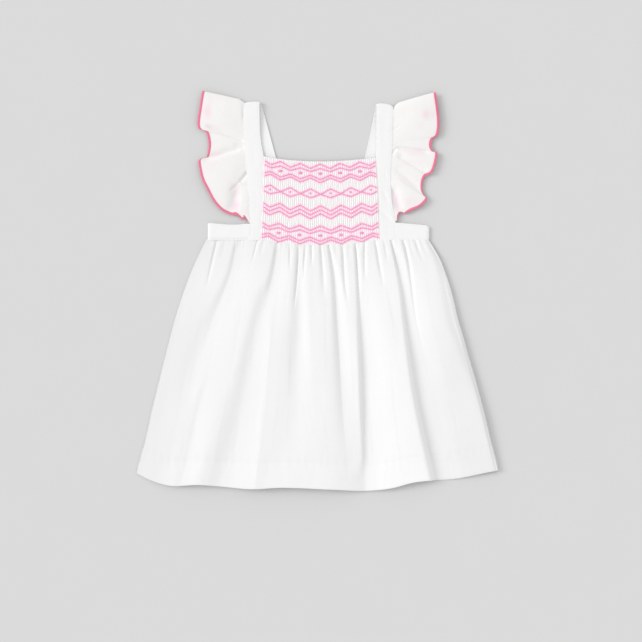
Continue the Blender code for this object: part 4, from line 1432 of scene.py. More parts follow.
        # painted shade: darker beside the side seams, more towards the hem
        sides = 1.0 - smooth_step(0.0, 58.0, half - np.abs(x))
        sides = sides * (0.15 + 0.6 * smooth_step(0.05, 0.6, down))
        # the hem band is drawn a little lighter
        hem = smooth_step(self.hem_down, self.hem_down + 0.01, down)
        # painted shade: darker in the gathers under the waist and on the left
        gathered = 0.2 * (1.0 - smooth_step(0.05, 0.16, down))
        gathered += 0.14 * (1.0 - smooth_step(-75.0, -25.0, x))
        thin = self.even_tone + gathered - 0.2 * painted_light_middle + 0.46 * single + sides - 0.1 * hem
        return np.clip(thin, 0.0, 1.0)

    def hem_stitches(self) -> list[Stitch]:
        """The line of white stitches that holds the hem."""
        across = np.linspace(0.01, 0.99, HEM_SAMPLES)
        line = self.cloth_point(across, np.full(len(across), self.hem_down))
        return row_of_stitches(line, 3.0, 2.2, 0.14, self.wall / 2 - 0.04)

    def build(self) -> None:
        """Makes the cloth and its hem stitches and fixes them to the dress."""
        squares = (self.columns, self.rows + self.turn_rows + self.inner_rows)
        front = cloth_grid(
            "skirt_front_cloth", squares, self.place, self.cut, self.wall, self.cloth, self.tone_and_painted_shade
        )
        sewing = stitches_object("skirt_front_hem_thread", self.hem_stitches(), self.thread)
        sew_on(front, "skirt_front", self.cut, [sewing])


@dataclass
class SkirtBack:
    """The back of the skirt, which lies on the table and meets the front along its sides.

    Attributes:
        shape: the skirt's outline.
        cloth: its material.
        ridges: its faint ridges.
        columns: of its grid.
        rows: of its grid.
        cut: the cloth's flat width and length.
        weave_size: what its weave is laid over.
        wall: the cloth's thickness.
        low_z: height of the cloth's middle on the table.
        side_z: height of the side seams.
        curl: how far in from its sides the cloth turns up.
        hem_rise: how far the back hem stays above the front one.
        tone_and_painted_shade: the cloth's even tone, as the share of its darker colour.
    """

    shape: SkirtShape
    cloth: Material
    ridges: tuple[Ridge, ...] = BACK_RIDGES
    columns: int = 180
    rows: int = 90
    cut: tuple[float, float] = (415.0, 290.0)
    weave_size: tuple[float, float] = (400.0, 280.0)
    wall: float = 0.42
    low_z: float = 0.3
    side_z: float = 1.15
    curl: float = 4.0
    hem_rise: float = 4.0
    tone_and_painted_shade: float = 0.4

    def place(self, across: Array, along: Array) -> Array:
        """Points for the grid.

        Args:
            across: shares across.
            along: shares along.

        Returns:
            The points in mm.
        """
        half = self.shape.half_width(along)
        turn = 2.0 * across - 1.0
        x = half * (0.4 * turn + 0.6 * np.sin(turn * math.pi / 2))
        y = self.shape.level_y(x, along, self.shape.waist_y, self.hem_rise)
        inward = np.clip((half - np.abs(x)) / self.curl, 0.0, 1.0)
        z = self.low_z + (self.side_z - self.low_z) * (1.0 - np.sqrt(1.0 - (1.0 - inward) ** 2))
        for ridge in self.ridges:
            fade = 1.0 - smooth_step(0.0, ridge.end, along)
            z = z + ridge.height * fade * bell(x - line_x(ridge, along), ridge.width)
        return np.stack((x + self.shape.wave(x, along), y, z), axis=1)

    def build(self) -> None:
        """Makes the cloth and fixes it to the dress."""
        back = cloth_grid(
            "skirt_back_cloth",
            (self.columns, self.rows),
            self.place,
            self.weave_size,
            self.wall,
            self.cloth,
            lambda across, along: np.full_like(across, self.tone_and_painted_shade),
        )
        sew_on(back, "skirt_back", self.cut)


# ---------------------------------------------------------------- waistband and straps


@dataclass
class BandCloth:
    """Doubled cloth with stitched edges, as the straps and the waistband are made.

    Attributes:
        cloth: its material.
        thread: its thread's material.
        wall: its thickness.
        stitch_in: how far in from an edge its stitches run.
        groove: how deep they pull the cloth in.
        pitch: between two stitches.
        stitch_length: of each stitch.
        stitch_radius: of their thread.
        edge_drop: how far its edges round down.
        pucker: how high the cloth puckers beside the stitches.
        uneven: how high its soft unevenness stands.
        even_tone: the cloth's even tone, as the share of its darker colour.
    """

    cloth: Material
    thread: Material
    wall: float = 1.0
    stitch_in: float = 1.6
    groove: float = 0.16
    pitch: float = 2.8
    stitch_length: float = 2.0
    stitch_radius: float = 0.16
    edge_drop: float = 0.3
    pucker: float = 0.06
    uneven: float = 0.1
    even_tone: float = 0.26

    def relief(self, inward: Array, along: Array, seed: float) -> Array:
        """Height over a band's level: rounded edges, the stitches' groove and its puckers.

        Args:
            inward: distance from the nearer edge, in mm.
            along: distance along the band, in mm.
            seed: varies the puckers.

        Returns:
            The height in mm.
        """
        edge = -self.edge_drop * bell(inward, 0.55)
        groove = -self.groove * bell(inward - self.stitch_in, 0.5)
        waves = np.sin(along * 1.9 + 2.2 * np.sin(along * 0.23 + seed))
        pucker = self.pucker * waves * bell(inward - self.stitch_in, 1.6)
        return edge + groove + pucker + self.uneven * ripple(along, inward * 2.0, 31.0, seed)

    def tone_and_painted_shade(self, across: Array, along: Array) -> Array:
        """The cloth's tone: alike all over."""
        return np.full_like(across, self.even_tone)

    def edge_stitches(self, left: Array, right: Array) -> list[Stitch]:
        """Sews along both edges of a band.

        Args:
            left: its left edge as points.
            right: its right edge.

        Returns:
            The stitches.
        """
        lift = self.wall / 2 - 0.12
        width = np.linalg.norm(right - left, axis=1)[:, None]
        stitches = []
        for edge, other in ((left, right), (right, left)):
            line = edge + (other - edge) * (self.stitch_in / width)
            stitches += row_of_stitches(line, self.pitch, self.stitch_length, self.stitch_radius, lift)
        return stitches

    def sew(
        self,
        name: str,
        squares: tuple[int, int],
        place: Place,
        cut: tuple[float, float],
        stitches: Sequence[Stitch],
        under: str,
    ) -> None:
        """Makes a band with its stitches and fixes it to the dress.

        Args:
            name: the solid that it stands for.
            squares: of its grid, across and along.
            place: gives the grid's points.
            cut: the band's width and length.
            stitches: its stitches.
            under: what it lies on; not used.
        """
        piece = cloth_grid(f"{name}_cloth", squares, place, cut, self.wall, self.cloth, self.tone_and_painted_shade)
        sewing = stitches_object(f"{name}_thread", stitches, self.thread)
        sew_on(piece, name, cut, [sewing])


@dataclass
class Waistband:
    """The band round the waist: a stretch at each side of the front, and the whole back.

    Attributes:
        band: how it is made.
        low_y: its seam with the skirt.
        high_y: its upper edge.
        left_x: its left end.
        right_x: its right end.
        front_z: height of the front stretches.
        back_z: height of the back.
        end_z: height at which front and back meet.
        end_lift: how far the back's ends stand above it.
        round_over: how far in from its ends the band rounds over.
        corner_round: how far its corners come in there.
        gather: how high the skirt's gathers push its lower edge up.
        column: width of a square of its grid.
        rows: of its grid.
    """

    band: BandCloth
    low_y: float = WAIST_Y
    high_y: float = BAND_TOP_Y
    left_x: float = WAISTBAND_TOP[0].at
    right_x: float = WAISTBAND_TOP[-1].at
    front_z: float = 3.0
    back_z: float = 0.65
    end_z: float = 1.75
    end_lift: float = 0.35
    round_over: float = 4.0
    corner_round: float = 1.0
    gather: float = 0.16
    column: float = 0.9
    rows: int = 30

    def stretch(
        self,
        name: str,
        start_x: float,
        end_x: float,
        z: float,
        ends: tuple[bool, bool],
        leans: tuple[float, float] = (0.0, 0.0),
        low_drop: float = 0.0,
    ) -> None:
        """Makes one stretch of the band.

        Args:
            name: the solid it stands for.
            start_x: its left end.
            end_x: its right end.
            z: its height.
            ends: whether its left and right end round over to the side fold.
            leans: how far its upper left and right corners stand to the right.
            low_drop: how far its lower edge sinks to the skirt.
        """
        length = end_x - start_x
        in_front = z > self.end_z
        low_end = self.end_z if in_front else z + self.end_lift

        def place(across: Array, along: Array) -> Array:
            """Points for the grid.

            Args:
                across: shares across.
                along: shares along.

            Returns:
                The points in mm.
            """
            x = start_x + length * (0.35 * across + 0.65 * (1 - np.cos(math.pi * across)) / 2)
            reach = np.full_like(x, self.round_over)
            if ends[0]:
                reach = np.minimum(reach, x - start_x)
            if ends[1]:
                reach = np.minimum(reach, end_x - x)
            share = 1.0 - np.clip(reach / self.round_over, 0.0, 1.0)
            level = low_end + (z - low_end) * np.sqrt(1.0 - share**2)
            x = x + along * (leans[0] * (1.0 - across) + leans[1] * across)
            top = read(WAISTBAND_TOP, x)
            y = self.low_y + (top - self.low_y) * along
            inward = np.minimum(y - self.low_y, top - y)
            level = level - low_drop * bell(y - self.low_y, 3.5)
            level = np.maximum(level + self.band.relief(inward, x, z), self.band.wall / 2 + 0.1)
            waves = np.sin(x * 1.7 + 3.0 * np.sin(x * 0.31))
            gathers = self.gather * waves * bell(y - self.low_y, 4.0)
            y = y - self.corner_round * (2.0 * along - 1.0) * share**3
            return np.stack((x, y, level + np.maximum(gathers, 0.0)), axis=1)

        cut = (length, self.high_y - self.low_y)
        xs = np.linspace(start_x + 1.5, end_x - 1.5, BAND_SAMPLES)
        low = np.stack((xs, np.full_like(xs, self.low_y), np.full_like(xs, z)), axis=1)
        high = np.stack((xs, read(WAISTBAND_TOP, xs), low[:, 2]), axis=1)
        under = "waistband_back_cloth" if in_front else "studio_floor"
        squares = (max(self.rows, int(length / self.column)), self.rows)
        self.band.sew(name, squares, place, cut, self.band.edge_stitches(low, high), under)

    def build(self, left_end: float, right_start: float) -> None:
        """Makes the three stretches.

        Args:
            left_end: X of the left strap, which the left front stretch runs up to.
            right_start: X of the right strap, where the right one starts.
        """
        left, right, front = self.left_x, self.right_x, self.front_z
        self.stretch("waistband_back", left, right, self.back_z, (True, True))
        self.stretch("waistband_front_left", left, left_end, front, (True, False), (0.0, 1.3), 0.9)
        self.stretch("waistband_front_right", right_start, right, front, (False, True), (-0.2, 0.0))


@dataclass
class Strap:
    """One shoulder strap: a front part, and a back part that comes over the shoulder to it.

    Attributes:
        side: which side it is on.
        band: how it is made.
        waist_y: the waist seam.
        band_top_y: the waistband's upper edge.
        seam_in: from the fold over the shoulder to where the back part meets the front part.
        front_z: height of the front part.
        back_z: height of the back part.
        radius: of the fold over the shoulder.
        rise_y: where the front part begins to rise to that fold.
        columns: grid columns of each part.
        rows: grid rows of each part.
        front_cut: the front part's flat width and length.
        back_cut: the back part's.
    """

    side: Side
    band: BandCloth
    waist_y: float = WAIST_Y
    band_top_y: float = BAND_TOP_Y
    seam_in: float = 9.5
    front_z: float = 3.0
    back_z: float = 0.75
    radius: float = 1.9
    rise_y: float = 165.0
    columns: int = 36
    rows: int = 160
    front_cut: tuple[float, float] = (18.0, 149.0)
    back_cut: tuple[float, float] = (18.0, 152.0)

    @property
    def shoulder_y(self) -> float:
        """Y of the fold over the shoulder."""
        return SHOULDERS[self.side].y

    @property
    def seam_y(self) -> float:
        """Y at which the back part, brought over, meets the front part."""
        return self.shoulder_y - self.seam_in

    def drop(self, across: Array, y: Array) -> Array:
        """How far the strap's end comes down at its corners.

        Args:
            across: shares across.
            y: places along.

        Returns:
            The drop at each.
        """
        turn = 2.0 * across - 1.0
        fold = SHOULDERS[self.side]
        near = smooth_step(self.shoulder_y - 22.0, self.shoulder_y - 2.0, y)
        return near * (fold.round_off * np.abs(turn) ** 3 - fold.lean * turn / 2)

    def front_height(self, y: Array) -> Array:
        """The front part rises a little towards the fold over the shoulder."""
        top = self.back_z + 2 * self.radius
        return self.front_z + (top - self.front_z) * smooth_step(self.rise_y, self.seam_y, y)

    def edges(self, table: Sequence[StrapRow], y: Array) -> tuple[Array, Array]:
        """X of the left and right edges at each Y."""
        columns = read(table, y)
        return columns[:, 0], columns[:, 1]

    def front_place(self, across: Array, along: Array) -> Array:
        """Points for the front part's grid.

        Args:
            across: shares across.
            along: shares along.

        Returns:
            The points in mm.
        """
        over = self.rows / (self.rows - 1)
        y = self.waist_y + (self.seam_y - self.waist_y) * over * along
        left, right = self.edges(FRONT_STRAPS[self.side], y)
        x = left + (right - left) * across
        inward = np.minimum(x - left, right - x)
        z = self.front_height(y) + self.band.relief(inward, y, self.side.value)
        z = z - crease_depth(STRAP_CREASES[self.side], x, y)
        z = z - self.band.wall * smooth_step(1.0, over, over * along)
        return np.stack((x, y - self.drop(across, y), z), axis=1)

    def back_path(self, along: Array) -> tuple[Array, Array, Array]:
        """Runs the back part along the back, over the shoulder and to its seam.

        Args:
            along: shares along it.

        Returns:
            Y, height and share turned over.
        """
        fold_y = self.shoulder_y - self.band.wall / 2 - self.radius
        last_run = (fold_y - self.seam_y) * 2
        runs = np.array((fold_y - self.band_top_y, math.pi * self.radius * 3, last_run))
        ends = np.concatenate(([0.0], np.cumsum(runs))) / runs.sum()
        first = np.clip(along / ends[1], 0.0, 1.0)
        turned = np.clip((along - ends[1]) / (ends[2] - ends[1]), 0.0, 1.0)
        last = np.clip((along - ends[2]) / (ends[3] - ends[2]), 0.0, 1.0)
        y = self.band_top_y + (fold_y - self.band_top_y) * first
        y = y + self.radius * np.sin(math.pi * turned) - (fold_y - self.seam_y) * last
        z = self.back_z + self.radius * (1.0 - np.cos(math.pi * turned))
        return y, z, turned

    def back_place(self, across: Array, along: Array) -> Array:
        """Points for the back part's grid.

        Args:
            across: shares across.
            along: shares along.

        Returns:
            The points in mm.
        """
        y, z, turned = self.back_path(along)
        back_left, back_right = self.edges(BACK_STRAPS[self.side], y)
        front_left, front_right = self.edges(FRONT_STRAPS[self.side], y)
        left = back_left + (front_left - back_left) * turned
        right = back_right + (front_right - back_right) * turned
        x = left + (right - left) * across
        inward = np.minimum(x - left, right - x)
        relief = self.band.relief(inward, y, self.side.value * 2.0)
        z = z + relief * (2.0 * (turned > 0.5) - 1.0)
        return np.stack((x, y - self.drop(across, y), z), axis=1)

    def edge_lines(self, place: Place, start: float, end: float) -> tuple[Array, Array]:
        """The left and right edge of a part from start to end of its length, as points."""
        along = np.linspace(start, end, EDGE_SAMPLES)
        return place(np.zeros_like(along), along), place(np.ones_like(along), along)

    def build(self) -> None:
        """Makes both parts with their stitches and fixes them to the dress."""
        squares = (self.columns, self.rows)
        front = self.band.edge_stitches(*self.edge_lines(self.front_place, 0.01, 0.985))
        name = f"strap_front_{self.side.label}"
        self.band.sew(name, squares, self.front_place, self.front_cut, front, "waistband_back_cloth")
        over = self.band.edge_stitches(*self.edge_lines(self.back_place, 0.94, 1.0))
        name = f"strap_back_{self.side.label}"
        self.band.sew(name, squares, self.back_place, self.back_cut, over, "studio_floor")


# ---------------------------------------------------------------- smocked panel


@dataclass
class SmockedPanel:
    """The smocked front: fine upright pleats between the straps.

    Attributes:
        skirt: the outline whose waist seam it meets.
        cloth: its material.
        pleats: how many pleats lie side by side.
        columns_a_pleat: grid columns for each.
        rows: grid rows.
        cut: the cloth's flat width and length.
        weave_size: what its weave is laid over.
        pleat_height: from the bottom of a pleat to its ridge.
        base_z: height of the valleys.
        swell: how much higher the panel's middle lies.
        wall: the cloth's thickness.
        seam: gap between the panel and the straps.
        waist_half: half the width over which it follows the waist seam.
        sewn_rows: shares up at which rows of smocking draw the pleats in.
        drawn: how much of a pleat's height they take.
    """

    skirt: SkirtShape
    cloth: Material
    pleats: int = 57
    columns_a_pleat: int = 6
    rows: int = 110
    cut: tuple[float, float] = (170.0, 98.0)
    weave_size: tuple[float, float] = (260.0, 98.0)
    pleat_height: float = 0.72
    base_z: float = 2.95
    swell: float = 0.35
    wall: float = 0.36
    seam: float = 0.15
    waist_half: float = 67.0
    sewn_rows: tuple[float, ...] = (0.02, 0.15, 0.33, 0.42, 0.60, 0.66, 0.79, 0.93)
    drawn: float = 0.25

    def frame_point(self, across: Array, up: Array) -> tuple[Array, Array]:
        """Finds places in the panel's outline.

        Args:
            across: from -1 to 1 across.
            up: from 0, the waist, to 1, the neck.

        Returns:
            Their X and Y.
        """
        bottom = self.skirt.waist_seam(across * self.waist_half + self.skirt.dip_x)
        top = read(NECK_LINE, across)
        y = bottom + (top - bottom) * up
        left = read(FRONT_STRAPS[Side.LEFT], y)[:, 1] + self.seam
        right = read(FRONT_STRAPS[Side.RIGHT], y)[:, 0] - self.seam
        return left + (right - left) * (across + 1.0) / 2.0, y

    def drawn_in(self, up: Array) -> Array:
        """Share of its height that a pleat has, less where rows of smocking draw it in."""
        rows = np.zeros_like(up)
        for row in self.sewn_rows:
            rows = np.maximum(rows, bell(up - row, 0.035))
        return 1.0 - self.drawn * rows

    def lifted(self, up: Array) -> Array:
        """How much higher the panel lies than at its ends."""
        return self.swell * np.sin(math.pi * np.clip(up, 0.0, 1.0)) ** 0.5

    def place(self, across: Array, along: Array) -> Array:
        """Points for the grid.

        Args:
            across: shares across.
            along: shares along.

        Returns:
            The points in mm.
        """
        x, y = self.frame_point(2.0 * across - 1.0, along)
        phase = across * self.pleats
        sway = 0.32 * np.sin(2 * math.pi * along * 6.5 + phase * 0.63) * np.sin(phase * 2.1 + 0.4)
        ridge = (0.5 - 0.5 * np.cos(2 * math.pi * phase)) ** 0.8
        uneven = 1.0 + 0.12 * np.sin(np.floor(phase) * 2.3)
        z = self.base_z + self.pleat_height * ridge * self.drawn_in(along) * uneven
        return np.stack((x + sway, y, z + self.lifted(along)), axis=1)

    def top_point(self, ridge: Array, up: Array) -> Array:
        """Finds points on the pleats' ridges.

        Args:
            ridge: pleats counted from the left edge.
            up: shares up.

        Returns:
            The points in mm.
        """
        across = (ridge + 0.5) / self.pleats
        x, y = self.frame_point(2.0 * across - 1.0, up)
        z = self.base_z + self.pleat_height * self.drawn_in(up) + self.wall / 2
        return np.stack((x, y, z + self.lifted(up)), axis=1)

    def build(self, threads: Sequence[Object], glow: Marks) -> None:
        """Makes the panel and fixes it, with its smocking, to the dress.

        Args:
            threads: the smocking.
            glow: how strongly its threads colour the cloth beside them, as painted reflected light and as
                thread showing through.
        """
        squares = (self.pleats * self.columns_a_pleat, self.rows)
        panel = cloth_grid(
            "bodice_smocked_cloth", squares, self.place, self.weave_size, self.wall, self.cloth, glow
        )
        sew_on(panel, "bodice_smocked", self.cut, threads)


class Zigzag(NamedTuple):
    """A stitched line: its Y at the middle of a repeat and half a repeat to the side."""

    middle_y: float
    side_y: float


class DotRow(NamedTuple):
    """A row of filled dots: their Y, whether they stand half a repeat to the side, their size."""

    y: float
    at_side: bool
    bars: int
    length: float


@dataclass
class Smocking:
    """The embroidery that holds the pleats: diamonds, a chain and waves in pink thread.

    Attributes:
        panel: the pleats it is worked on.
        thread: its material.
        low_y: the waist seam at the panel's middle.
        high_y: the neck edge there.
        repeat: pleats in one repeat.
        zigzags: the stitched lines, from the neck down.
        dots: the rows of filled dots.
        radius: of the thread as it lies.
        bar_pitch: between two bars of a dot.
        glow_reach: how far the painted pink light and show-through reach on the cloth.
        glow_strength: how strongly.
    """

    panel: SmockedPanel
    thread: Material
    low_y: float = 52.0
    high_y: float = NECK_Y
    repeat: int = 10
    zigzags: tuple[Zigzag, ...] = (
        Zigzag(144.4, 139.2),
        Zigzag(139.4, 135.7),
        Zigzag(126.8, 131.7),
        Zigzag(123.3, 128.4),
        Zigzag(110.0, 116.1),
        Zigzag(110.0, 105.9),
        Zigzag(96.9, 90.7),
        Zigzag(92.5, 86.3),
        Zigzag(88.0, 81.9),
        Zigzag(73.9, 68.7),
        Zigzag(69.0, 65.2),
        Zigzag(56.6, 61.3),
        Zigzag(52.9, 58.0),
    )
    dots: tuple[DotRow, ...] = (
        DotRow(133.6, False, 3, 5.6),
        DotRow(111.0, True, 2, 2.6),
        DotRow(63.0, False, 3, 5.6),
    )
    radius: float = 0.70
    bar_pitch: float = 0.8
    glow_reach: float = 3.0
    glow_strength: float = 0.95

    def share_up(self, y: float | Array) -> Array:
        """Share of the way up the panel for a Y at its middle."""
        return (np.asarray(y, float) - self.low_y) / (self.high_y - self.low_y)

    def aside(self, ridges: Array, first: float) -> Array:
        """How many pleats away the nearest repeat is, counted from a first one."""
        half = self.repeat / 2
        return np.abs((ridges - first + half) % self.repeat - half)

    def first_dot(self, row: DotRow) -> float:
        """The pleat that carries the row's middle dot."""
        return self.panel.pleats // 2 + (self.repeat / 2 if row.at_side else 0)

    def line_y(self, line: Zigzag, ridges: Array) -> Array:
        """The line's Y at pleats counted from the left edge."""
        away = self.aside(ridges, self.panel.pleats // 2) / (self.repeat / 2)
        return line.middle_y + (line.side_y - line.middle_y) * away

    def line_points(self, line: Zigzag) -> Array:
        """Where the line meets each pleat's ridge."""
        ridges = np.arange(self.panel.pleats, dtype=float)
        return self.panel.top_point(ridges, self.share_up(self.line_y(line, ridges)))

    def glow(self, across: Array, along: Array) -> Array:
        """How strongly the threads colour the cloth beside them: painted pink light reflected from the
        thread, and the thread showing through the cloth.

        Args:
            across: shares across.
            along: shares along.

        Returns:
            0 to 1 at each point of the panel.
        """
        ridges = across * self.panel.pleats - 0.5
        y = self.low_y + (self.high_y - self.low_y) * along
        # painted pink reflected light, with show-through, near each stitched line and dot
        total = np.zeros_like(across)
        for line in self.zigzags:
            away = np.abs(y - self.line_y(line, ridges))
            total = np.maximum(total, 1.0 - smooth_step(self.glow_reach / 3, self.glow_reach, away))
        for row in self.dots:
            aside = self.aside(ridges, self.first_dot(row))
            total = np.maximum(total, 0.8 * bell(aside, 1.6) * bell(y - row.y, self.glow_reach))
        return self.glow_strength * total

    def line_stitches(self, line: Zigzag) -> list[Stitch]:
        """Sews from each pleat to the next.

        Args:
            line: the line.

        Returns:
            The stitches.
        """
        points = self.line_points(line)
        stitches = []
        for number, (start, end) in enumerate(zip(points[:-1], points[1:])):
            run = Vector(end - start)
            middle = Vector((start + end) / 2) + Vector((0, 0, self.radius * 0.35))
            radius = self.radius * (1.08 if number % 2 else 0.82)
            stitches.append(Stitch(middle, run, run.length, radius))
        return stitches

    def dot_stitches(self, row: DotRow) -> list[Stitch]:
        """Lays short bars one above the other for each dot.

        Args:
            row: the row of dots.

        Returns:
            The stitches.
        """
        first = self.first_dot(row) % self.repeat
        ridges = np.arange(first, self.panel.pleats, self.repeat, dtype=float)
        stitches = []
        for ridge in ridges:
            for bar in range(row.bars):
                above = bar - (row.bars - 1) / 2
                y = row.y + above * self.bar_pitch
                point = self.panel.top_point(np.array([ridge]), self.share_up(np.array([y])))[0]
                at = Vector(point) + Vector((0, 0, self.radius * 0.3))
                length = row.length * (1.0 - 0.35 * abs(above))
                stitches.append(Stitch(at, Vector((1, 0.04, 0)), length, self.radius * 0.8))
        return stitches

    def build(self) -> Object:
        """Works every line and dot and joins them in one piece.

        Returns:
            The finished object.
        """
        stitches = [stitch for line in self.zigzags for stitch in self.line_stitches(line)]
        stitches += [stitch for row in self.dots for stitch in self.dot_stitches(row)]
        worked = stitches_object("smocking_thread", stitches, self.thread)
        LOG.info("smocking: %d stitches", len(stitches))
        return worked


# ---------------------------------------------------------------- flutter sleeves


@dataclass
class FlutterSleeve:
    """A sleeve cut as a strip and gathered to the strap: front half, shoulder fold, back half.

    Attributes:
        side: which side it is on.
        strap: the strap it is sewn to.
        cloth: its material.
        edging: the material of the thread along its free edge.
        columns: grid squares from the seam to the free edge.
        rows_a_station: grid squares between two rows of its tables.
        cut: the cloth's flat width and length.
        filled: the share of that which the strip, tapered at both ends, fills.
        weave_size: what its weave is laid over.
        wall: the cloth's thickness.
        seam_gap: from the strap's edge to the seam.
        turn_z: height of the seam at the fold over the shoulder.
        back_z: height of the seam under the strap.
        least_z: the lowest that the cloth comes.
        gather_pitch: between two small gathers along the seam.
        uneven: how high the soft unevenness stands.
        edge_width: of the thread over the free edge.
        edge_thread: thickness of that thread.
        edge_pitch: from one turn of that thread to the next.
        edge_past: how far it reaches past the edge.
        rim_tint: how strongly it colours the cloth beside it.
    """

    side: Side
    strap: Strap
    cloth: Material
    edging: Material
    columns: int = 56
    rows_a_station: int = 14
    cut: tuple[float, float] = (56.0, 375.0)
    filled: float = 0.75
    weave_size: tuple[float, float] = (60.0, 520.0)
    wall: float = 0.28
    seam_gap: float = 0.2
    turn_z: float = 2.6
    back_z: float = 0.9
    least_z: float = 0.35
    gather_pitch: float = 3.6
    uneven: float = 0.12
    edge_width: float = 3.5
    edge_thread: float = 0.6
    edge_pitch: float = 0.72
    edge_past: float = 0.3
    rim_tint: float = 0.5
    stations: Array = field(init=False)
    gathers: list[Gather] = field(init=False)

    @property
    def over(self) -> int:
        """The station of the fold over the shoulder."""
        return len(SLEEVE_FRONTS[self.side])

    def seam_x(self, table: Sequence[StrapRow], y: float) -> float:
        """X of the seam, beside the strap's outer edge."""
        outer = 0 if self.side is Side.LEFT else 1
        return self.strap.edges(table, np.array([y]))[outer][0] + self.side.value * self.seam_gap

    def __post_init__(self) -> None:
        """Lists the sleeve's stations and places its small gathers."""
        front, back = FRONT_STRAPS[self.side], BACK_STRAPS[self.side]
        rows = []
        for row in SLEEVE_FRONTS[self.side]:
            z = self.strap.front_height(np.array([row.seam_y]))[0]
            rows.append((self.seam_x(front, row.seam_y), row.seam_y, z, *row[1:]))
        turn = SLEEVE_CORNERS[self.side]
        rows.append((self.seam_x(front, STRAP_END_Y), turn.seam_y, self.turn_z, *turn[1:]))
        for row in SLEEVE_BACKS[self.side]:
            rows.append((self.seam_x(back, row.seam_y), row.seam_y, self.back_z, *row[1:]))
        self.stations = np.array(rows)
        chance = np.random.default_rng(7 + self.side.value)
        self.gathers = [
            Gather(y, chance.uniform(0.08, 0.3), chance.uniform(0.9, 1.5), chance.uniform(0.08, 0.35))
            for y in uneven_places(80.0, 208.0, self.gather_pitch, 21 + self.side.value)
        ]

    def station(self, at: Array) -> Array:
        """Reads the stations' table between its rows.

        Args:
            at: places, counted in stations.

        Returns:
            A row of its columns for each place.
        """
        rows = self.stations
        last = len(rows) - 1
        start = np.clip(np.floor(at).astype(int), 0, last - 1)
        share = (at - start)[:, None]
        before, first = rows[np.maximum(start - 1, 0)], rows[start]
        second, after = rows[start + 1], rows[np.minimum(start + 2, last)]
        return 0.5 * (
            2 * first
            + (second - before) * share
            + (2 * before - 5 * first + 4 * second - after) * share**2
            + (3 * first - before - 3 * second + after) * share**3
        )

    def tint_and_shade(self, across: Array, along: Array) -> Array:
        """How strongly the front half is drawn pinkish grey: the edging behind showing through, and
        painted shade.

        Args:
            across: shares across.
            along: shares along.

        Returns:
            0 to 1 at each point.
        """
        points = self.place(across, along)
        front = along * (len(self.stations) - 1) < self.over + 0.5
        total = np.zeros_like(across)
        # each spot is edging showing through, painted shade, or both
        for spot in SLEEVE_TINTS_AND_SHADE[self.side]:
            near_x = bell(points[:, 0] - spot.x, spot.reach_x)
            near_y = bell(points[:, 1] - spot.y, spot.reach_y)
            total = np.maximum(total, spot.strength * near_x * near_y)
        rim = self.rim_tint * smooth_step(0.88, 0.97, across)
        return np.maximum(total * front, rim)

    def cloth_point(self, out: Array, at: Array) -> Array:
        """Finds points of the cloth's middle.

        Args:
            out: shares from the seam to the free edge.
            at: places round the stations.

        Returns:
            The points in mm.
        """
        seam_x, seam_y, seam_z, edge_x, edge_y, edge_z, swell = self.station(at).T
        x = seam_x + (edge_x - seam_x) * out
        y = seam_y + (edge_y - seam_y) * out
        bulge = SLEEVE_TOP_BULGES[self.side] * smooth_step(0.0, 0.15, out) * (1.0 - out) ** 0.6
        y = y + bulge * bell(at - self.over, 0.9)
        z = seam_z + (edge_z - seam_z) * out**1.4 + swell * np.sin(math.pi * out)
        front = 1.0 - smooth_step(self.over - 1.5, self.over + 0.5, at)
        lowered = np.zeros_like(z)
        for gather in self.gathers:
            fade = 1.0 - smooth_step(0.1 * gather.length, gather.length, out)
            spread = bell(seam_y - gather.at, gather.width * (1.0 + 1.2 * out))
            lowered += gather.depth * (smooth_step(0.0, 0.02, out) * fade) * spread
        z = z - lowered * (0.35 + 0.65 * front) - front * crease_depth(SLEEVE_CREASES[self.side], x, y)
        uneven = ripple(seam_y * 1.3, out * 14.0, 13.0, 1.7)
        z = z + self.uneven * smooth_step(0.1, 0.4, out) * uneven * front
        return np.stack((x, y, np.maximum(z, self.least_z)), axis=1)

    def place(self, across: Array, along: Array) -> Array:
        """Points for the grid: across runs from the seam to the free edge."""
        return self.cloth_point(across, along * (len(self.stations) - 1))

    def edge_stitches(self) -> list[Stitch]:
        """Threads laid over the free edge, one beside the other.

        Returns:
            The stitches.
        """
        at = np.linspace(0.0, len(self.stations) - 1.0, RIM_SAMPLES)
        edge = self.cloth_point(np.ones_like(at), at)
        inner = self.cloth_point(np.full_like(at, 0.97), at)
        run = np.concatenate(([0.0], np.cumsum(np.linalg.norm(np.diff(edge, axis=0), axis=1))))
        stitches = []
        for middle in np.arange(0.4, run[-1], self.edge_pitch):
            point = Vector([np.interp(middle, run, edge[:, axis]) for axis in range(3)])
            inside = Vector([np.interp(middle + 0.5, run, inner[:, axis]) for axis in range(3)])
            inward = (inside - point).normalized()
            at_point = point + inward * (self.edge_width / 2 - self.edge_past)
            stitches.append(Stitch(at_point, inward, self.edge_width, self.edge_thread))
        return stitches

    def build(self) -> None:
        """Makes the sleeve and its edging and fixes them to the dress."""
        name = f"sleeve_{self.side.label}"
        squares = (self.columns, (len(self.stations) - 1) * self.rows_a_station)
        sleeve = cloth_grid(
            f"{name}_cloth", squares, self.place, self.weave_size, self.wall, self.cloth, self.tint_and_shade
        )
        edging = stitches_object(f"{name}_edging", self.edge_stitches(), self.edging)
        sew_on(sleeve, name, self.cut, [edging], self.filled)


# ---------------------------------------------------------------- studio


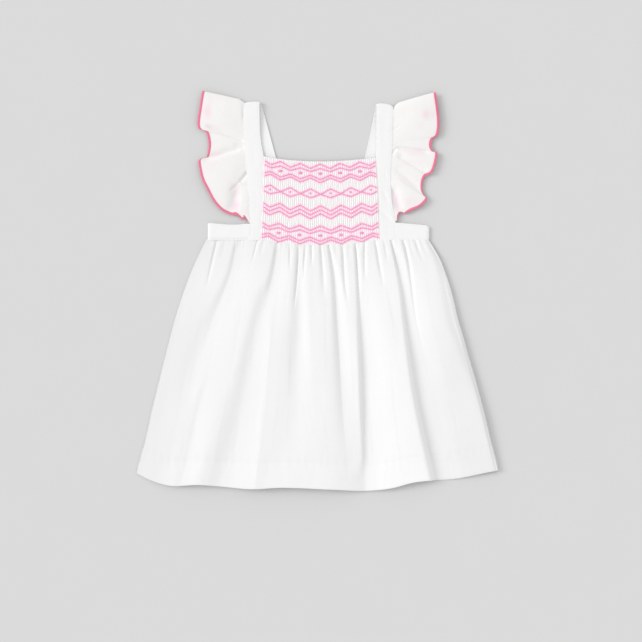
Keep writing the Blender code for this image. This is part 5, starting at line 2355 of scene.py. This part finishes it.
@dataclass
class Studio:
    """A plain pale floor, one soft lamp from the upper left and an even room light.

    Attributes:
        floor_size: half the floor's side, in metres.
        camera_place: the camera over the dress, in metres.
        lens: its focal length in mm.
        lamp_power: the lamp's strength.
        lamp_turn: the lamp's tilt about X and Y, in degrees.
        lamp_angle: how soft its shadows are, in degrees.
        room_light: strength of the light from all round.
    """

    floor_size: float = 4.0
    camera_place: tuple[float, float, float] = (0.004, -0.0342, 2.033)
    lens: float = 100.0
    lamp_power: float = 1.35
    lamp_turn: tuple[float, float] = (-12.1, -59.2)
    lamp_angle: float = 26.0
    room_light: float = 0.86

    def lay_floor(self) -> None:
        """Lays the floor."""
        mesh = bmesh.new()
        bmesh.ops.create_grid(mesh, x_segments=2, y_segments=2, size=self.floor_size / MM)
        bmesh.ops.translate(mesh, vec=(0.0, 0.0, -0.05), verts=mesh.verts)
        on_object("studio_floor", mesh, FloorFinish().material())

    def light(self) -> None:
        """Hangs the lamp and sets the room's light."""
        lamp = bpy.data.lights.new("studio_lamp", "SUN")
        lamp.energy = self.lamp_power
        lamp.angle = math.radians(self.lamp_angle)
        hung = bpy.data.objects.new("studio_lamp", lamp)
        hung.rotation_euler = (math.radians(self.lamp_turn[0]), math.radians(self.lamp_turn[1]), 0.0)
        bpy.context.scene.collection.objects.link(hung)
        world = bpy.data.worlds.new("studio_room")
        world.use_nodes = True
        light = world.node_tree.nodes["Background"]
        light.inputs["Color"].default_value = (1.0, 1.0, 1.0, 1.0)
        light.inputs["Strength"].default_value = self.room_light
        bpy.context.scene.world = world

    def set_camera(self) -> None:
        """Hangs the camera over the dress, looking straight down."""
        camera = bpy.data.cameras.new("camera")
        camera.lens = self.lens
        camera.sensor_width = 36.0
        placed = bpy.data.objects.new("camera", camera)
        placed.location = self.camera_place
        bpy.context.scene.collection.objects.link(placed)
        bpy.context.scene.camera = placed
        bpy.context.scene.view_settings.view_transform = "Standard"

    def build(self) -> None:
        """Sets up the camera, the floor and the light."""
        self.set_camera()
        self.lay_floor()
        self.light()


# ---------------------------------------------------------------- the dress


def main() -> None:
    """Builds the dress and its studio."""
    logging.basicConfig(level=logging.INFO, format="%(name)s: %(message)s")
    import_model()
    # the second colour of the plain cotton is the grey of its painted shade
    cotton = CottonFinish("cotton", (0.889, 0.889, 0.886), (0.80, 0.80, 0.798)).material()
    # the second colour of the smocked cotton is the pink of painted light reflected from the thread and
    # of the thread showing through
    smocked = CottonFinish("smocked_cotton", (0.892, 0.872, 0.870), (1.0, 0.69, 0.83)).material()
    # the second colour of the sleeve cotton is the pink of the edging showing through, also used as
    # painted shade
    voile = CottonFinish("sleeve_cotton", (0.862, 0.852, 0.838), (0.87, 0.69, 0.765)).material()
    white = ThreadFinish("white_thread", (0.875, 0.875, 0.872), (0.82, 0.82, 0.815)).material()
    pink = ThreadFinish("smocking_pink", (1.0, 0.47, 0.68), (0.88, 0.29, 0.50)).material()
    edging = ThreadFinish("edging_pink", (0.88, 0.24, 0.38), (0.78, 0.16, 0.27)).material()
    Studio().build()
    shape = SkirtShape()
    SkirtBack(shape, cotton).build()
    SkirtFront(shape, cotton, white).build()
    band = BandCloth(cotton, white)
    straps = {side: Strap(side, band) for side in Side}
    left_end = FRONT_STRAPS[Side.LEFT][0].left + 0.2
    right_start = FRONT_STRAPS[Side.RIGHT][0].right - 0.1
    Waistband(band).build(left_end, right_start)
    for side, strap in straps.items():
        strap.build()
        FlutterSleeve(side, strap, voile, edging).build()
    panel = SmockedPanel(shape, smocked)
    smocking = Smocking(panel, pink)
    panel.build([smocking.build()], smocking.glow)


if __name__ == "__main__":
    main()
